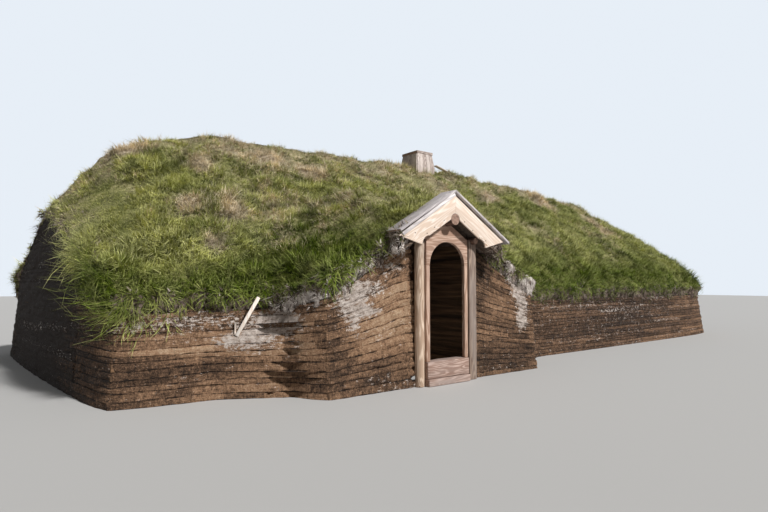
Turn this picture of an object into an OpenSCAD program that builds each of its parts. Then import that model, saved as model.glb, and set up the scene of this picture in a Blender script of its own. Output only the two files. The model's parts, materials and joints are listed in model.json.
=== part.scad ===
// Turf longhouse with a timber door porch and a plank smoke vent on the ridge.
// Millimetres, +Z up, +X to the right along the front, +Y into the house.
// The origin is on the ground, in the middle of the house's plan.

/* [House] */
// Length over the feet of the end walls
house_length = 17350; // [14000:50:20000]
// Depth over the feet of the two long walls
house_depth = 7500; // [6800:100:8400]
// Thickness of the long turf walls at the foot
wall_thick = 1400; // [1100:50:1700]
// Thickness of the end walls at the foot, where they are thickest
end_thick = 1900; // [1600:50:2200]
// Height of the turf walls at the eaves
eave_height = 1150; // [950:50:1400]
// How far the walls lean in between foot and eaves
wall_batter = 120; // [60:10:200]
// How far each end wall bows out in its middle
end_bow = 100; // [0:25:300]
// How far each long wall bows out in its middle
side_bow = 80; // [0:20:240]
// How much the outer corners are rounded off
corner_round = 140; // [60:20:300]
// How much further out the left end stands at the back than at the front
left_skew = 750; // [0:50:900]
// Height of one course of turf blocks at the eaves
turf_course = 140; // [100:10:250]
// Depth of the grooves between the courses
course_groove = 18; // [4:1:30]

/* [Turf roof] */
// Height of the turf at the middle of the ridge
ridge_height = 4550; // [4400:50:4800]
// Height of the turf above the left end wall
left_end_height = 2900; // [2600:50:3300]
// Height of the turf above the right end wall
right_end_height = 3650; // [3200:50:3800]
// Thickness of the turf edge along the eaves
turf_edge = 250; // [150:10:350]
// How far the turf edge hangs over the wall
turf_lip = 80; // [40:10:120]

/* [Hall timber] */
// Height of the hall walls, where the roof boards start
plate_height = 2200; // [2100:50:2400]
// Thickness of the turf over the roof boards at the ridge
ridge_turf = 700; // [650:50:850]
// Thickness of the roof boards
deck_thick = 30; // [20:5:40]
// Diameter of the ridge beam
ridge_log = 200; // [140:10:240]
// Diameter of the side beams under the roof
side_log = 170; // [120:10:220]
// Diameter of the hall posts
post_log = 180; // [140:10:220]
// Distance of the side beams from the ridge line
side_beam_off = 1150; // [900:50:1400]
// Distance between the pairs of hall posts
post_bay = 3500; // [2800:100:4000]

/* [Porch] */
// Distance of the door's axis to the left of the middle
door_offset = 3470; // [2500:10:4500]
// How far the doorway stands in front of the long wall
porch_reach = 1000; // [800:50:1400]
// Width of the passage between its turf walls
passage_width = 1270; // [1270:10:1400]
// Length of the straight wing wall left of the door
left_wing = 2050; // [1700:50:2400]
// Length of the straight wing wall right of the door
right_wing = 2300; // [1700:50:2700]
// Length over which a wing wall turns back
wing_turn = 550; // [400:50:800]
// How far the wing walls stand behind the door frame
wing_setback = 100; // [60:10:160]

/* [Doorway] */
// Width of the door opening
door_width = 730; // [650:10:760]
// Height of the door opening, sill to crown of the arch
door_height = 1800; // [1650:10:1850]
// Height of the sill's top above the ground
sill_height = 365; // [250:5:400]
// Width of the door frame's jambs
jamb_width = 70; // [50:5:90]
// Depth of the door frame
frame_depth = 60; // [50:5:110]
// Height of solid head board above the arch
head_above = 75; // [50:5:90]
// Diameter of the round door post on the left
left_post = 150; // [120:5:165]
// Side of the squared door post on the right
right_post = 165; // [150:5:165]
// Gap between the door frame and the squared post
post_gap = 35; // [10:5:35]
// Height of the block that serves as a step
step_height = 110; // [80:5:140]
// Depth of the threshold beam
sill_depth = 200; // [150:10:240]

/* [Hood] */
// How far the hood stands in front of the door frame
hood_overhang = 200; // [180:10:260]
// Half of the hood's width over the barge boards
hood_half = 1090; // [1000:10:1200]
// Height of the barge boards' upper edge at the apex
hood_apex = 2865; // [2800:5:2950]
// Fall of the hood over its half width
hood_fall = 665; // [600:5:700]
// Plumb depth of the barge boards
barge_depth = 315; // [270:5:340]
// Distance of the notch in a barge board from the apex
notch_off = 525; // [450:25:600]
// Radius of the quarter-round notch
notch_size = 140; // [100:10:160]
// Thickness of the barge boards
barge_thick = 30; // [20:2:40]
// Plumb gap between the barge boards and the cap boards
cap_lift = 50; // [20:5:100]
// Thickness of the weathered cap boards
cap_thick = 35; // [25:1:45]
// How far the cap boards reach past the barge boards at the eaves
cap_reach = 130; // [60:10:160]
// Width of the cap boards along the passage
cap_width = 330; // [250:10:400]
// Plumb distance from the barge boards' upper edge down to the soffit
soffit_drop = 260; // [240:5:300]
// Diameter of the porch's ridge pole
pole = 180; // [140:5:200]
// Diameter of the porch's wall plates
plate_log = 110; // [90:5:120]
// Plumb gap between the gable board and the soffit
gable_gap = 130; // [125:5:160]

/* [Smoke vent] */
// Length of the vent along the ridge
vent_length = 600; // [450:10:700]
// Width of the vent across the ridge
vent_width = 680; // [450:10:750]
// Height of the vent above the middle of the ridge turf
vent_rise = 430; // [300:10:600]
// How much the vent narrows on each side towards its top
vent_taper = 60; // [0:5:100]
// Thickness of the vent's planks
vent_plank = 35; // [25:1:45]
// Height of the rim board round the top
rim_height = 70; // [50:5:100]
// Thickness of the rim board
rim_thick = 22; // [15:1:30]

/* [Hidden] */
$fn = 48;

// Plan lines
overall_depth = hood_overhang + porch_reach + house_depth;
door_y = hood_overhang - overall_depth / 2;
ridge_y = (overall_depth - house_depth) / 2;
half_length = house_length / 2;
half_depth = house_depth / 2;
hall_half_length = half_length - end_thick;
hall_half_depth = half_depth - wall_thick;
hall_front_y = ridge_y - hall_half_depth;
hall_back_y = ridge_y + hall_half_depth;
door_x = -door_offset;
passage_half = passage_width / 2;
wing_face_y = door_y + wing_setback;

// Roof lines
turf_start = eave_height + turf_edge;
deck_ridge = ridge_height - ridge_turf;
deck_slope = (deck_ridge - plate_height) / hall_half_depth;
deck_angle = atan(deck_slope);
hood_slope = hood_fall / hood_half;
hood_angle = atan(hood_slope);
soffit_apex = hood_apex - soffit_drop;
turf_wing_climb = 0.35;
turf_blend = 160;
left_sag = 0.03;
right_sag = 0.2;
ridge_round = 0.08;
straight_share = 0.85;
shoulder_power = 8;
end_power = 8.5;
corner_power = 12;
crest_power = 1.5;

function lerp(a, b, t) = a + (b - a) * t;
function clamp(t) = max(0, min(1, t));
function ease(t) = t * t * (3 - 2 * t);
function soft_max(a, b) = (a + b + sqrt(pow(a - b, 2) + pow(turf_blend, 2))) / 2;

// Distance of the wall foot from the ridge line, and from the middle of the house
function side_out(x) = half_depth - side_bow * pow(x / half_length, 2)
  - corner_round * pow(min(1, abs(x) / half_length), corner_power);
function end_loss(u) = end_bow * u * u + corner_round * pow(min(1, abs(u)), corner_power);
function skew_loss(u) = left_skew * clamp((1 - u) / 2);
skew_shift = min([for (u = [0:0.02:1]) end_loss(u) + skew_loss(u)]);
function end_out(x, y) = let (u = (y - ridge_y) / half_depth)
  half_length - end_loss(u) - (x < 0 ? skew_loss(u) - skew_shift : 0);

// Wing walls beside the doorway
function wing_reach(x) = x < door_x ? left_wing : right_wing;
function wing_share(x) = 1 - ease(clamp((abs(x - door_x) - wing_reach(x)) / wing_turn));
function front_y(x, lean) = lerp(ridge_y - side_out(x), wing_face_y, wing_share(x)) + lean;
function back_y(x, lean) = ridge_y + side_out(x) - lean;
function soffit(x) = soffit_apex - hood_slope * abs(x - door_x);
function crest_share(x) = clamp((abs(x - door_x) - passage_half)
  / (wing_reach(x) + wing_turn - passage_half));
function crest(x) = lerp(eave_height, soffit(door_x + passage_half), pow(1 - crest_share(x), crest_power));

// Top of the turf walls, which is the underside of the roof turf
function front_top(x, share) = lerp(crest(x), plate_height, share);
function back_top(share) = lerp(eave_height, plate_height, share);
function gable_share(y) = 1 - min(1, abs(y - ridge_y) / hall_half_depth);
function deck_top(y) = lerp(plate_height, deck_ridge, gable_share(y));
function bed(x, y, height) = min(height, turf_top(x, y) - turf_edge);

// Surface of the roof turf
function round_off(t) = (sqrt(t * t + ridge_round * ridge_round) - ridge_round)
  / (sqrt(1 + ridge_round * ridge_round) - ridge_round);
function slope_form(t) = straight_share * (1 - round_off(t))
  + (1 - straight_share) * (1 - pow(t, shoulder_power));
function end_height(x) = x < 0 ? left_end_height : right_end_height;
function end_ratio(x) = (end_height(x) - turf_start) / (ridge_height - turf_start);
function ridge_sag(x) = x < 0 ? left_sag : right_sag;
function ridge_form(x, t) = 1 - ridge_sag(x) * t * t
  - (1 - ridge_sag(x) - end_ratio(x)) * pow(t, end_power);
function main_turf(x, y) = turf_start + (ridge_height - turf_start)
  * slope_form(min(1, abs(y - ridge_y) / (side_out(x) - wall_batter)))
  * ridge_form(x, min(1, abs(x) / (end_out(x, y) - wall_batter)));
function wing_turf(x, y) = crest(x) + turf_edge + turf_wing_climb * (y - front_y(x, 0));
function turf_top(x, y) = y > hall_front_y ? main_turf(x, y)
  : wing_share(x) > 0 ? lerp(main_turf(x, y), soft_max(main_turf(x, y), wing_turf(x, y)), wing_share(x))
  : main_turf(x, y);

// Columns along X: every place where a wall, a turf piece or an opening begins or ends,
// with even steps between them that are finer along the wing walls
function sorted(list) = len(list) < 2 ? list
  : let (first = list[0], rest = [for (k = [1:len(list) - 1]) list[k]])
    concat(sorted([for (x = rest) if (x < first) x]), [first], sorted([for (x = rest) if (x >= first) x]));
plan_step = 560;
wing_step = 240;
back_split = vent_length;
breaks = sorted([-hall_half_length, door_x - left_wing - wing_turn, door_x - left_wing,
  door_x - hood_half, door_x - passage_half, door_x, door_x + passage_half, door_x + hood_half,
  door_x + right_wing, door_x + right_wing + wing_turn, back_split, hall_half_length]);
stations = [for (k = [0:len(breaks) - 2])
  let (gap = breaks[k + 1] - breaks[k],
       parts = ceil(gap / (wing_share(breaks[k] + gap / 2) > 0 ? wing_step : plan_step)))
  if (gap > 1) for (i = [0:parts - 1]) breaks[k] + gap * i / parts];
function between(x_from, x_to) = concat([for (x = stations) if (x > x_from - 1 && x < x_to - 1) x], [x_to]);

// Columns over the end walls, closer together towards the outside
end_columns = 5;
end_spread = 1.3;
function end_share(i) = pow(i / end_columns, end_spread);
left_end_columns = [for (i = [0:end_columns - 1]) -lerp(half_length, hall_half_length, end_share(i))];
right_end_columns = [for (i = [end_columns - 1:-1:0]) lerp(half_length, hall_half_length, end_share(i))];
function plan_x(x, y, lean) = abs(x) <= hall_half_length ? x
  : sign(x) * lerp(hall_half_length, end_out(x, y) - lean, (abs(x) - hall_half_length) / end_thick);

// Rows across the long walls and across the roof boards on one side of the ridge
wall_rows = 4;
deck_rows = 6;

// Closed block between a foot and a top sheet of points, columns along X and rows along Y.
// coursed tells for the sides at low Y, high X, high Y and low X whether they have turf courses:
// such a side has a groove between each course and the next. The other sides are flat.
module turf_block(columns, rows, foot, top, coursed, courses) {
  layer = (columns + 1) * (rows + 1);
  grid = [for (j = [0:rows]) for (i = [0:columns]) [i, j]];
  rim = concat([for (i = [0:columns - 1]) [i, 0]], [for (j = [0:rows - 1]) [columns, j]],
    [for (i = [columns:-1:1]) [i, rows]], [for (j = [rows:-1:1]) [0, j]]);
  around = len(rim);
  corners = [0, columns, columns + rows, 2 * columns + rows, around];
  levels = 2 * courses;
  at = function(k) rim[k % around];
  number = function(k, l) let (p = at(k))
    l == 0 ? p[1] * (columns + 1) + p[0]
    : l == levels ? layer + p[1] * (columns + 1) + p[0]
    : 2 * layer + (l - 1) * around + k % around;
  inward = function(k) let (p = at(k),
      inner = [max(1, min(columns - 1, p[0])), max(1, min(rows - 1, p[1]))],
      away = foot(inner[0], inner[1]) - foot(p[0], p[1]))
    away / norm(away);
  ring = function(k, l) let (p = at(k))
    lerp(foot(p[0], p[1]), top(p[0], p[1]), l / levels)
    + inward(k) * (l % 2 == 0 ? course_groove : 0);
  points = concat([for (p = grid) foot(p[0], p[1])], [for (p = grid) top(p[0], p[1])],
    [for (l = [1:levels - 1]) for (k = [0:around - 1]) ring(k, l)]);
  low = function(i, j) j * (columns + 1) + i;
  sheets = [for (j = [0:rows - 1]) for (i = [0:columns - 1]) each [
    [layer + low(i, j), layer + low(i, j + 1), layer + low(i + 1, j + 1), layer + low(i + 1, j)],
    [low(i + 1, j), low(i + 1, j + 1), low(i, j + 1), low(i, j)]]];
  skins = [for (s = [0:3]) if (coursed[s]) for (k = [corners[s]:corners[s + 1] - 1]) for (l = [0:levels - 1])
    [number(k, l), number(k, l + 1), number(k + 1, l + 1), number(k + 1, l)]];
  fan_left = function(k) concat([for (l = [0:levels - 1]) [number(k + 1, 0), number(k, l), number(k, l + 1)]],
    [[number(k + 1, 0), number(k, levels), number(k + 1, levels)]]);
  fan_right = function(k) concat([[number(k, 0), number(k, levels), number(k + 1, levels)]],
    [for (l = [levels - 1:-1:0]) [number(k, 0), number(k + 1, l + 1), number(k + 1, l)]]);
  plain = function(k) [[number(k, 0), number(k, levels), number(k + 1, levels)],
    [number(k, 0), number(k + 1, levels), number(k + 1, 0)]];
  flats = [for (s = [0:3]) if (!coursed[s]) for (k = [corners[s]:corners[s + 1] - 1])
    each k == corners[s] && coursed[(s + 3) % 4] ? fan_left(k)
      : k == corners[s + 1] - 1 && coursed[(s + 1) % 4] ? fan_right(k)
      : plain(k)];
  quads = concat(sheets, skins);
  faces = [for (q = quads) each [[q[0], q[1], q[2]], [q[0], q[2], q[3]]]];
  polyhedron(points, concat(faces, flats), convexity = 8);
}

// One stretch of a long wall, solid turf from the ground to the roof turf
wall_courses = round(eave_height / turf_course);
wing_courses = round(crest(door_x + passage_half) / turf_course);
module long_wall(xs, is_front, courses, has_left_end = false, has_right_end = false) {
  inner = is_front ? hall_front_y : hall_back_y;
  point = function(i, j, lean, is_top)
    let (x = xs[i],
         share = is_front ? j / wall_rows : 1 - j / wall_rows,
         y = lerp(is_front ? front_y(x, lean) : back_y(x, lean), inner, share),
         out_x = plan_x(x, y, lean),
         height = is_front ? front_top(x, share) : back_top(share))
    [out_x, y, is_top ? bed(out_x, y, height) : 0];
  turf_block(len(xs) - 1, wall_rows,
    function(i, j) point(i, j, 0, false), function(i, j) point(i, j, wall_batter, true),
    [is_front, has_right_end, !is_front, has_left_end], courses);
}

// Gable wall of solid turf between the long walls
module end_wall(side) {
  point = function(i, j, lean, is_top)
    let (y = lerp(hall_front_y, hall_back_y, j / (2 * deck_rows)),
         share = end_share(side < 0 ? i : end_columns - i),
         x = side * lerp(end_out(side, y) - lean, hall_half_length, share))
    [x, y, is_top ? bed(x, y, deck_top(y)) : 0];
  turf_block(end_columns, 2 * deck_rows,
    function(i, j) point(i, j, 0, false), function(i, j) point(i, j, wall_batter, true),
    [false, side > 0, false, side < 0], wall_courses);
}

// Closed layer of roof turf between a lower and an upper sheet of points
module turf_layer(columns, rows, lower, upper) {
  turf_block(columns, rows, lower, upper, [false, false, false, false], 1);
}

// Roof turf over a stretch of the hall, from the eaves to the ridge
module hall_turf(xs, is_front) {
  rows = wall_rows + deck_rows;
  place = function(i, j, lean)
    let (x = xs[i],
         k = is_front ? j : rows - j,
         share = min(1, k / wall_rows),
         inner = is_front ? hall_front_y : hall_back_y,
         y = k <= wall_rows ? lerp(is_front ? front_y(x, lean) : back_y(x, lean), inner, share)
           : lerp(inner, ridge_y, (k - wall_rows) / deck_rows))
    [x, y, bed(x, y, k <= wall_rows ? (is_front ? front_top(x, share) : back_top(share)) : deck_top(y))];
  turf_layer(len(xs) - 1, rows,
    function(i, j) place(i, j, wall_batter),
    function(i, j) let (p = place(i, j, wall_batter - turf_lip)) [p[0], p[1], turf_top(p[0], p[1])]);
}

// Roof turf over an end wall, eaves to eaves
module end_turf(side) {
  half_rows = wall_rows + deck_rows;
  xs = side < 0 ? concat(left_end_columns, [-hall_half_length])
    : concat([hall_half_length], right_end_columns);
  place = function(i, j, lean)
    let (x = xs[i],
         is_front = j <= half_rows,
         k = is_front ? j : 2 * half_rows - j,
         inner = is_front ? hall_front_y : hall_back_y,
         y = k <= wall_rows ? lerp(is_front ? front_y(x, lean) : back_y(x, lean), inner, k / wall_rows)
           : lerp(inner, ridge_y, (k - wall_rows) / deck_rows),
         out_x = plan_x(x, y, lean))
    [out_x, y, bed(out_x, y, k <= wall_rows ? back_top(k / wall_rows) : deck_top(y))];
  turf_layer(end_columns, 2 * half_rows,
    function(i, j) place(i, j, wall_batter),
    function(i, j) let (p = place(i, j, wall_batter - turf_lip)) [p[0], p[1], turf_top(p[0], p[1])]);
}

// Space of the smoke vent, taken out of the roof turf and the roof boards
module vent_space() {
  translate([-vent_length / 2, ridge_y - vent_width / 2, 0])
    cube([vent_length, vent_width, ridge_height + vent_rise]);
}

module front_wall_left() {
  color("saddlebrown")
    long_wall(concat(left_end_columns, between(-hall_half_length, door_x - left_wing - wing_turn)),
      true, wall_courses, has_left_end = true);
}
module front_wall_right() {
  color("saddlebrown")
    long_wall(concat(between(door_x + right_wing + wing_turn, hall_half_length), right_end_columns),
      true, wall_courses, has_right_end = true);
}
module left_wing_wall() {
  color("peru") long_wall(between(door_x - left_wing - wing_turn, door_x - passage_half), true, wing_courses);
}
module right_wing_wall() {
  color("peru") long_wall(between(door_x + passage_half, door_x + right_wing + wing_turn), true, wing_courses);
}
module back_wall_left() {
  color("saddlebrown")
    long_wall(concat(left_end_columns, between(-hall_half_length, back_split)),
      false, wall_courses, has_left_end = true);
}
module back_wall_right() {
  color("saddlebrown")
    long_wall(concat(between(back_split, hall_half_length), right_end_columns),
      false, wall_courses, has_right_end = true);
}
module left_end_wall() {
  color("sienna") end_wall(-1);
}
module right_end_wall() {
  color("sienna") end_wall(1);
}
module front_turf_left() {
  color("olivedrab") hall_turf(between(-hall_half_length, door_x - hood_half), true);
}
module front_turf_right() {
  color("olivedrab") difference() {
    hall_turf(between(door_x + hood_half, hall_half_length), true);
    vent_space();
  }
}
module back_turf_left() {
  color("darkolivegreen") difference() {
    hall_turf(between(-hall_half_length, back_split), false);
    vent_space();
  }
}
module back_turf_right() {
  color("darkolivegreen") hall_turf(between(back_split, hall_half_length), false);
}
module left_end_turf() {
  color("olivedrab") end_turf(-1);
}
module right_end_turf() {
  color("olivedrab") end_turf(1);
}

// Turf over the porch and the roof above it, up to the ridge
module porch_turf() {
  xs = between(door_x - hood_half, door_x + hood_half);
  hood_rows = 2;
  rows = hood_rows + wall_rows + deck_rows;
  hood_back_y = cap_front_y + cap_width;
  board_front_y = cap_front_y + barge_lap + barge_thick;
  place = function(i, j)
    let (x = xs[i],
         y = j <= hood_rows ? lerp(board_front_y, hood_back_y, j / hood_rows)
           : j <= hood_rows + wall_rows ? lerp(hood_back_y, hall_front_y, (j - hood_rows) / wall_rows)
           : lerp(hall_front_y, ridge_y, (j - hood_rows - wall_rows) / deck_rows),
         wall_share = clamp((y - front_y(x, wall_batter)) / (hall_front_y - front_y(x, wall_batter))),
         under = y > hall_front_y ? deck_top(y)
           : max(soffit(x) + deck_thick / cos(hood_angle), front_top(x, wall_share)))
    [x, y, under];
  hood_top = function(x) hood_apex + cap_lift - hood_slope * abs(x - door_x);
  color("olivedrab") turf_layer(len(xs) - 1, rows, place,
    function(i, j) let (p = place(i, j))
      [p[0], p[1], j <= hood_rows ? hood_top(p[0]) : max(hood_top(p[0]) + cap_thick, turf_top(p[0], p[1]))]);
}

// Roof boards of the hall
module roof_boards(side) {
  under = deck_thick / cos(deck_angle);
  difference() {
    translate([-hall_half_length, ridge_y, 0])
      rotate([90, 0, 90]) linear_extrude(2 * hall_half_length)
        polygon([[0, deck_ridge], [side * hall_half_depth, plate_height],
          [side * hall_half_depth, plate_height - under], [0, deck_ridge - under]]);
    vent_space();
  }
}
module roof_boards_front() {
  color("burlywood") roof_boards(-1);
}
module roof_boards_back() {
  color("burlywood") roof_boards(1);
}

// A log along X
module long_log(diameter, y, z) {
  translate([-hall_half_length, y, z]) rotate([0, 90, 0]) cylinder(d = diameter, h = 2 * hall_half_length);
}
deck_under_ridge = deck_ridge - deck_thick / cos(deck_angle);
ridge_log_z = deck_under_ridge - ridge_log / 2 / cos(deck_angle);
side_log_z = deck_under_ridge - deck_slope * side_beam_off - side_log / 2 / cos(deck_angle);
module ridge_beam() {
  color("tan") long_log(ridge_log, ridge_y, ridge_log_z);
}
module side_beam_front() {
  color("tan") long_log(side_log, ridge_y - side_beam_off, side_log_z);
}
module side_beam_back() {
  color("tan") long_log(side_log, ridge_y + side_beam_off, side_log_z);
}

// Hall posts in pairs, under the cross beams
tie_size = post_log;
tie_under = side_log_z - side_log / 2 - tie_size;
post_places = [for (k = [-1.5:1:1.5]) k * post_bay];
module post_row(y) {
  for (x = post_places) translate([x, y, 0]) cylinder(d = post_log, h = tie_under);
}
module hall_posts_front() {
  color("tan") post_row(ridge_y - side_beam_off);
}
module hall_posts_back() {
  color("tan") post_row(ridge_y + side_beam_off);
}
module cross_beams() {
  color("tan") for (x = post_places)
    translate([x - tie_size / 2, ridge_y - side_beam_off - tie_size, tie_under])
      cube([tie_size, 2 * side_beam_off + 2 * tie_size, tie_size]);
}
module king_posts() {
  base = tie_under + tie_size;
  color("tan") for (x = post_places)
    translate([x, ridge_y, base]) cylinder(d = post_log, h = ridge_log_z - ridge_log / 2 - base);
}

// Porch timber
cap_front_y = -overall_depth / 2;
barge_lap = 20;
porch_board_y = door_y + wing_setback;
module gabled_boards(half_width, y_from, y_to) {
  under = deck_thick / cos(hood_angle);
  translate([door_x, y_to, 0]) rotate([90, 0, 0]) linear_extrude(y_to - y_from)
    polygon([[0, soffit_apex], [half_width, soffit_apex - hood_slope * half_width],
      [half_width, soffit_apex - hood_slope * half_width + under], [0, soffit_apex + under],
      [-half_width, soffit_apex - hood_slope * half_width + under],
      [-half_width, soffit_apex - hood_slope * half_width]]);
}
module hood_roof_boards() {
  color("burlywood") gabled_boards(hood_half - 2 * barge_thick, cap_front_y + barge_lap + barge_thick, porch_board_y);
}
module porch_roof_boards() {
  color("burlywood") gabled_boards(passage_half, porch_board_y, hall_front_y);
}
pole_z = soffit_apex - pole / 2 / cos(hood_angle);
module porch_ridge_pole() {
  color("sienna") translate([door_x, cap_front_y + barge_lap, pole_z])
    rotate([-90, 0, 0]) cylinder(d = pole, h = hall_front_y - cap_front_y - barge_lap);
}
frame_half = door_width / 2 + jamb_width;
right_post_x = frame_half + post_gap;
function plate_x(side) = side < 0 ? frame_half + left_post / 2 : right_post_x + right_post / 2;
function plate_z(side) = soffit_apex - hood_slope * plate_x(side) - plate_log / 2 / cos(hood_angle);
plate_front_y = door_y - left_post / 2;
module porch_plate(side) {
  translate([door_x + side * plate_x(side), plate_front_y, plate_z(side)])
    rotate([-90, 0, 0]) cylinder(d = plate_log, h = hall_front_y - plate_front_y);
}
module porch_plate_left() {
  color("sienna") porch_plate(-1);
}
module porch_plate_right() {
  color("sienna") porch_plate(1);
}

// Doorway
spring_z = sill_height + door_height - door_width / 2;
head_top = sill_height + door_height + head_above;
function gable_line(x) = soffit_apex - gable_gap - hood_slope * x;
gable_half = (gable_line(0) - head_top) / hood_slope;
module door_post_left() {
  color("burlywood") translate([door_x - frame_half - left_post / 2, door_y + left_post / 2, 0])
    cylinder(d = left_post, h = plate_z(-1) - plate_log / 2);
}
// The squared post holds the wall plate in a fork at its top
module door_post_right() {
  color("burlywood") difference() {
    translate([door_x + right_post_x, door_y, 0])
      cube([right_post, right_post, soffit(door_x + right_post_x + right_post)]);
    translate([door_x + plate_x(1), door_y - right_post, plate_z(1)])
      rotate([-90, 0, 0]) cylinder(d = plate_log, h = 3 * right_post);
    translate([door_x + plate_x(1) - plate_log / 2, door_y - right_post, plate_z(1)])
      cube([plate_log, 3 * right_post, plate_log]);
  }
}
module door_jamb(side) {
  translate([door_x + (side < 0 ? -frame_half : door_width / 2), door_y, sill_height])
    cube([jamb_width, frame_depth, spring_z - sill_height]);
}
module door_jamb_left() {
  color("burlywood") door_jamb(-1);
}
module door_jamb_right() {
  color("burlywood") door_jamb(1);
}
module arched_head() {
  color("burlywood") translate([door_x, door_y + frame_depth, 0])
    rotate([90, 0, 0]) linear_extrude(frame_depth) difference() {
      polygon([[-frame_half, spring_z], [frame_half, spring_z], [frame_half, gable_line(frame_half)],
        [gable_half, head_top], [-gable_half, head_top], [-frame_half, gable_line(frame_half)]]);
      translate([0, spring_z]) circle(d = door_width, $fn = 96);
    }
}
module gable_board() {
  color("burlywood") translate([door_x, door_y + frame_depth, 0])
    rotate([90, 0, 0]) linear_extrude(frame_depth) difference() {
      polygon([[-gable_half, head_top], [gable_half, head_top], [0, gable_line(0)]]);
      translate([0, pole_z]) circle(d = pole);
    }
}
module threshold() {
  color("rosybrown") translate([door_x - frame_half, door_y - barge_thick, step_height])
    cube([2 * frame_half, sill_depth, sill_height - step_height]);
}
module step_block() {
  color("rosybrown") translate([door_x - frame_half, door_y - 2 * barge_thick, 0])
    cube([2 * frame_half, sill_depth + barge_thick, step_height]);
}

// Barge board: straight board with a quarter-round notch near its lower end
module barge_board(side) {
  depth = barge_depth;
  edge = function(x) hood_apex - hood_slope * x;
  notch_z = edge(notch_off) - depth - notch_size;
  translate([door_x, cap_front_y + barge_lap + barge_thick, 0]) rotate([90, 0, 0]) linear_extrude(barge_thick)
    mirror([side < 0 ? 1 : 0, 0]) difference() {
      polygon(concat([[0, edge(0)], [hood_half, edge(hood_half)]],
        [for (a = [0:15:90]) [notch_off, notch_z] + notch_size * [cos(a), sin(a)]],
        [[0, edge(0) - depth]]));
      translate([0, pole_z]) circle(d = pole);
    }
}
module barge_board_left() {
  color("wheat") barge_board(-1);
}
module barge_board_right() {
  color("wheat") barge_board(1);
}
module cap_board(side) {
  over = cap_thick / cos(hood_angle);
  reach = hood_half + cap_reach;
  under = hood_apex + cap_lift;
  translate([door_x, cap_front_y + cap_width, 0]) rotate([90, 0, 0]) linear_extrude(cap_width)
    polygon([[0, under], [side * reach, under - hood_slope * reach],
      [side * reach, under - hood_slope * reach + over], [0, under + over]]);
}
module cap_board_left() {
  color("silver") cap_board(-1);
}
module cap_board_right() {
  color("silver") cap_board(1);
}

// Smoke vent of planks, standing on the roof boards. It narrows above the ridge turf.
vent_top = ridge_height + vent_rise;
module vent_form(inset, over) {
  size = [vent_length - 2 * inset, vent_width - 2 * inset];
  narrow = 2 * vent_taper * over;
  translate([0, ridge_y, plate_height])
    linear_extrude(ridge_height - plate_height) square(size, center = true);
  translate([0, ridge_y, ridge_height])
    linear_extrude(vent_rise * over, slices = 1,
      scale = [(size[0] - narrow) / size[0], (size[1] - narrow) / size[1]])
      square(size, center = true);
}
module vent_box() {
  color("tan") difference() {
    vent_form(0, 1);
    vent_form(vent_plank, 1.1);
    translate([-vent_length, ridge_y, 0]) rotate([90, 0, 90]) linear_extrude(2 * vent_length)
      polygon([[-half_depth, 0], [half_depth, 0], [half_depth, deck_ridge - deck_slope * half_depth],
        [0, deck_ridge], [-half_depth, deck_ridge - deck_slope * half_depth]]);
  }
}
module vent_rim() {
  grow = rim_thick - vent_taper + vent_taper * rim_height / vent_rise;
  color("silver") difference() {
    translate([-vent_length / 2 - grow, ridge_y - vent_width / 2 - grow, vent_top - rim_height])
      cube([vent_length + 2 * grow, vent_width + 2 * grow, rim_height]);
    vent_form(0, 1.1);
  }
}

front_wall_left();
front_wall_right();
left_wing_wall();
right_wing_wall();
back_wall_left();
back_wall_right();
left_end_wall();
right_end_wall();
front_turf_left();
front_turf_right();
porch_turf();
back_turf_left();
back_turf_right();
left_end_turf();
right_end_turf();
roof_boards_front();
roof_boards_back();
ridge_beam();
side_beam_front();
side_beam_back();
hall_posts_front();
hall_posts_back();
cross_beams();
king_posts();
porch_roof_boards();
hood_roof_boards();
porch_ridge_pole();
porch_plate_left();
porch_plate_right();
door_post_left();
door_post_right();
door_jamb_left();
door_jamb_right();
arched_head();
gable_board();
threshold();
step_block();
barge_board_left();
barge_board_right();
cap_board_left();
cap_board_right();
vent_box();
vent_rim();
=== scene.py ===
import bisect
import json
import math
import random

import bpy
import bmesh
from mathutils import Matrix, Vector, noise
from mathutils.bvhtree import BVHTree

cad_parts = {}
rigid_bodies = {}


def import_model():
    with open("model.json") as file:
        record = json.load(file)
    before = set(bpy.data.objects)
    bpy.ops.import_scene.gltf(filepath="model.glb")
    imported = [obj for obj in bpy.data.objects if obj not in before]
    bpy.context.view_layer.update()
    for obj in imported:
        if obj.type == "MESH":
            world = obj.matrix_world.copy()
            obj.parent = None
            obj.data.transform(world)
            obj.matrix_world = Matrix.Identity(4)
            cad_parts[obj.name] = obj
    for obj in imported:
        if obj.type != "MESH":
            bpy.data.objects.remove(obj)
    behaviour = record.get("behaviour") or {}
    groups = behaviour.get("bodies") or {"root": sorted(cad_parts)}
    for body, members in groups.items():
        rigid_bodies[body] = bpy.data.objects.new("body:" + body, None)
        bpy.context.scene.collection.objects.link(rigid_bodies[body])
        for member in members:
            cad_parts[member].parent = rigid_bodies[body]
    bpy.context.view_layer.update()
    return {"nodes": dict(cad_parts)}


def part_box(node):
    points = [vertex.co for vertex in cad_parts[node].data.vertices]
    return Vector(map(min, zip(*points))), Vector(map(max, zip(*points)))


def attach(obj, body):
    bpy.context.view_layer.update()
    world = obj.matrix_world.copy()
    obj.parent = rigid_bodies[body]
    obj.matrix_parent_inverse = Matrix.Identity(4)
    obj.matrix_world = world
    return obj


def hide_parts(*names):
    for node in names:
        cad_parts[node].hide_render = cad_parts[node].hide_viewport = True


# Looks of a turf house: grassed roof, walls of turf strips, timber porch and a plank smoke vent.
# Metres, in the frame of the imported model.

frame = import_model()
nodes = frame["nodes"]
scene = bpy.context.scene
print("frame loaded:", len(nodes), "nodes")


# Small helpers for values and shapes
def within(value, low=0.0, high=1.0):
    return min(max(value, low), high)


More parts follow.
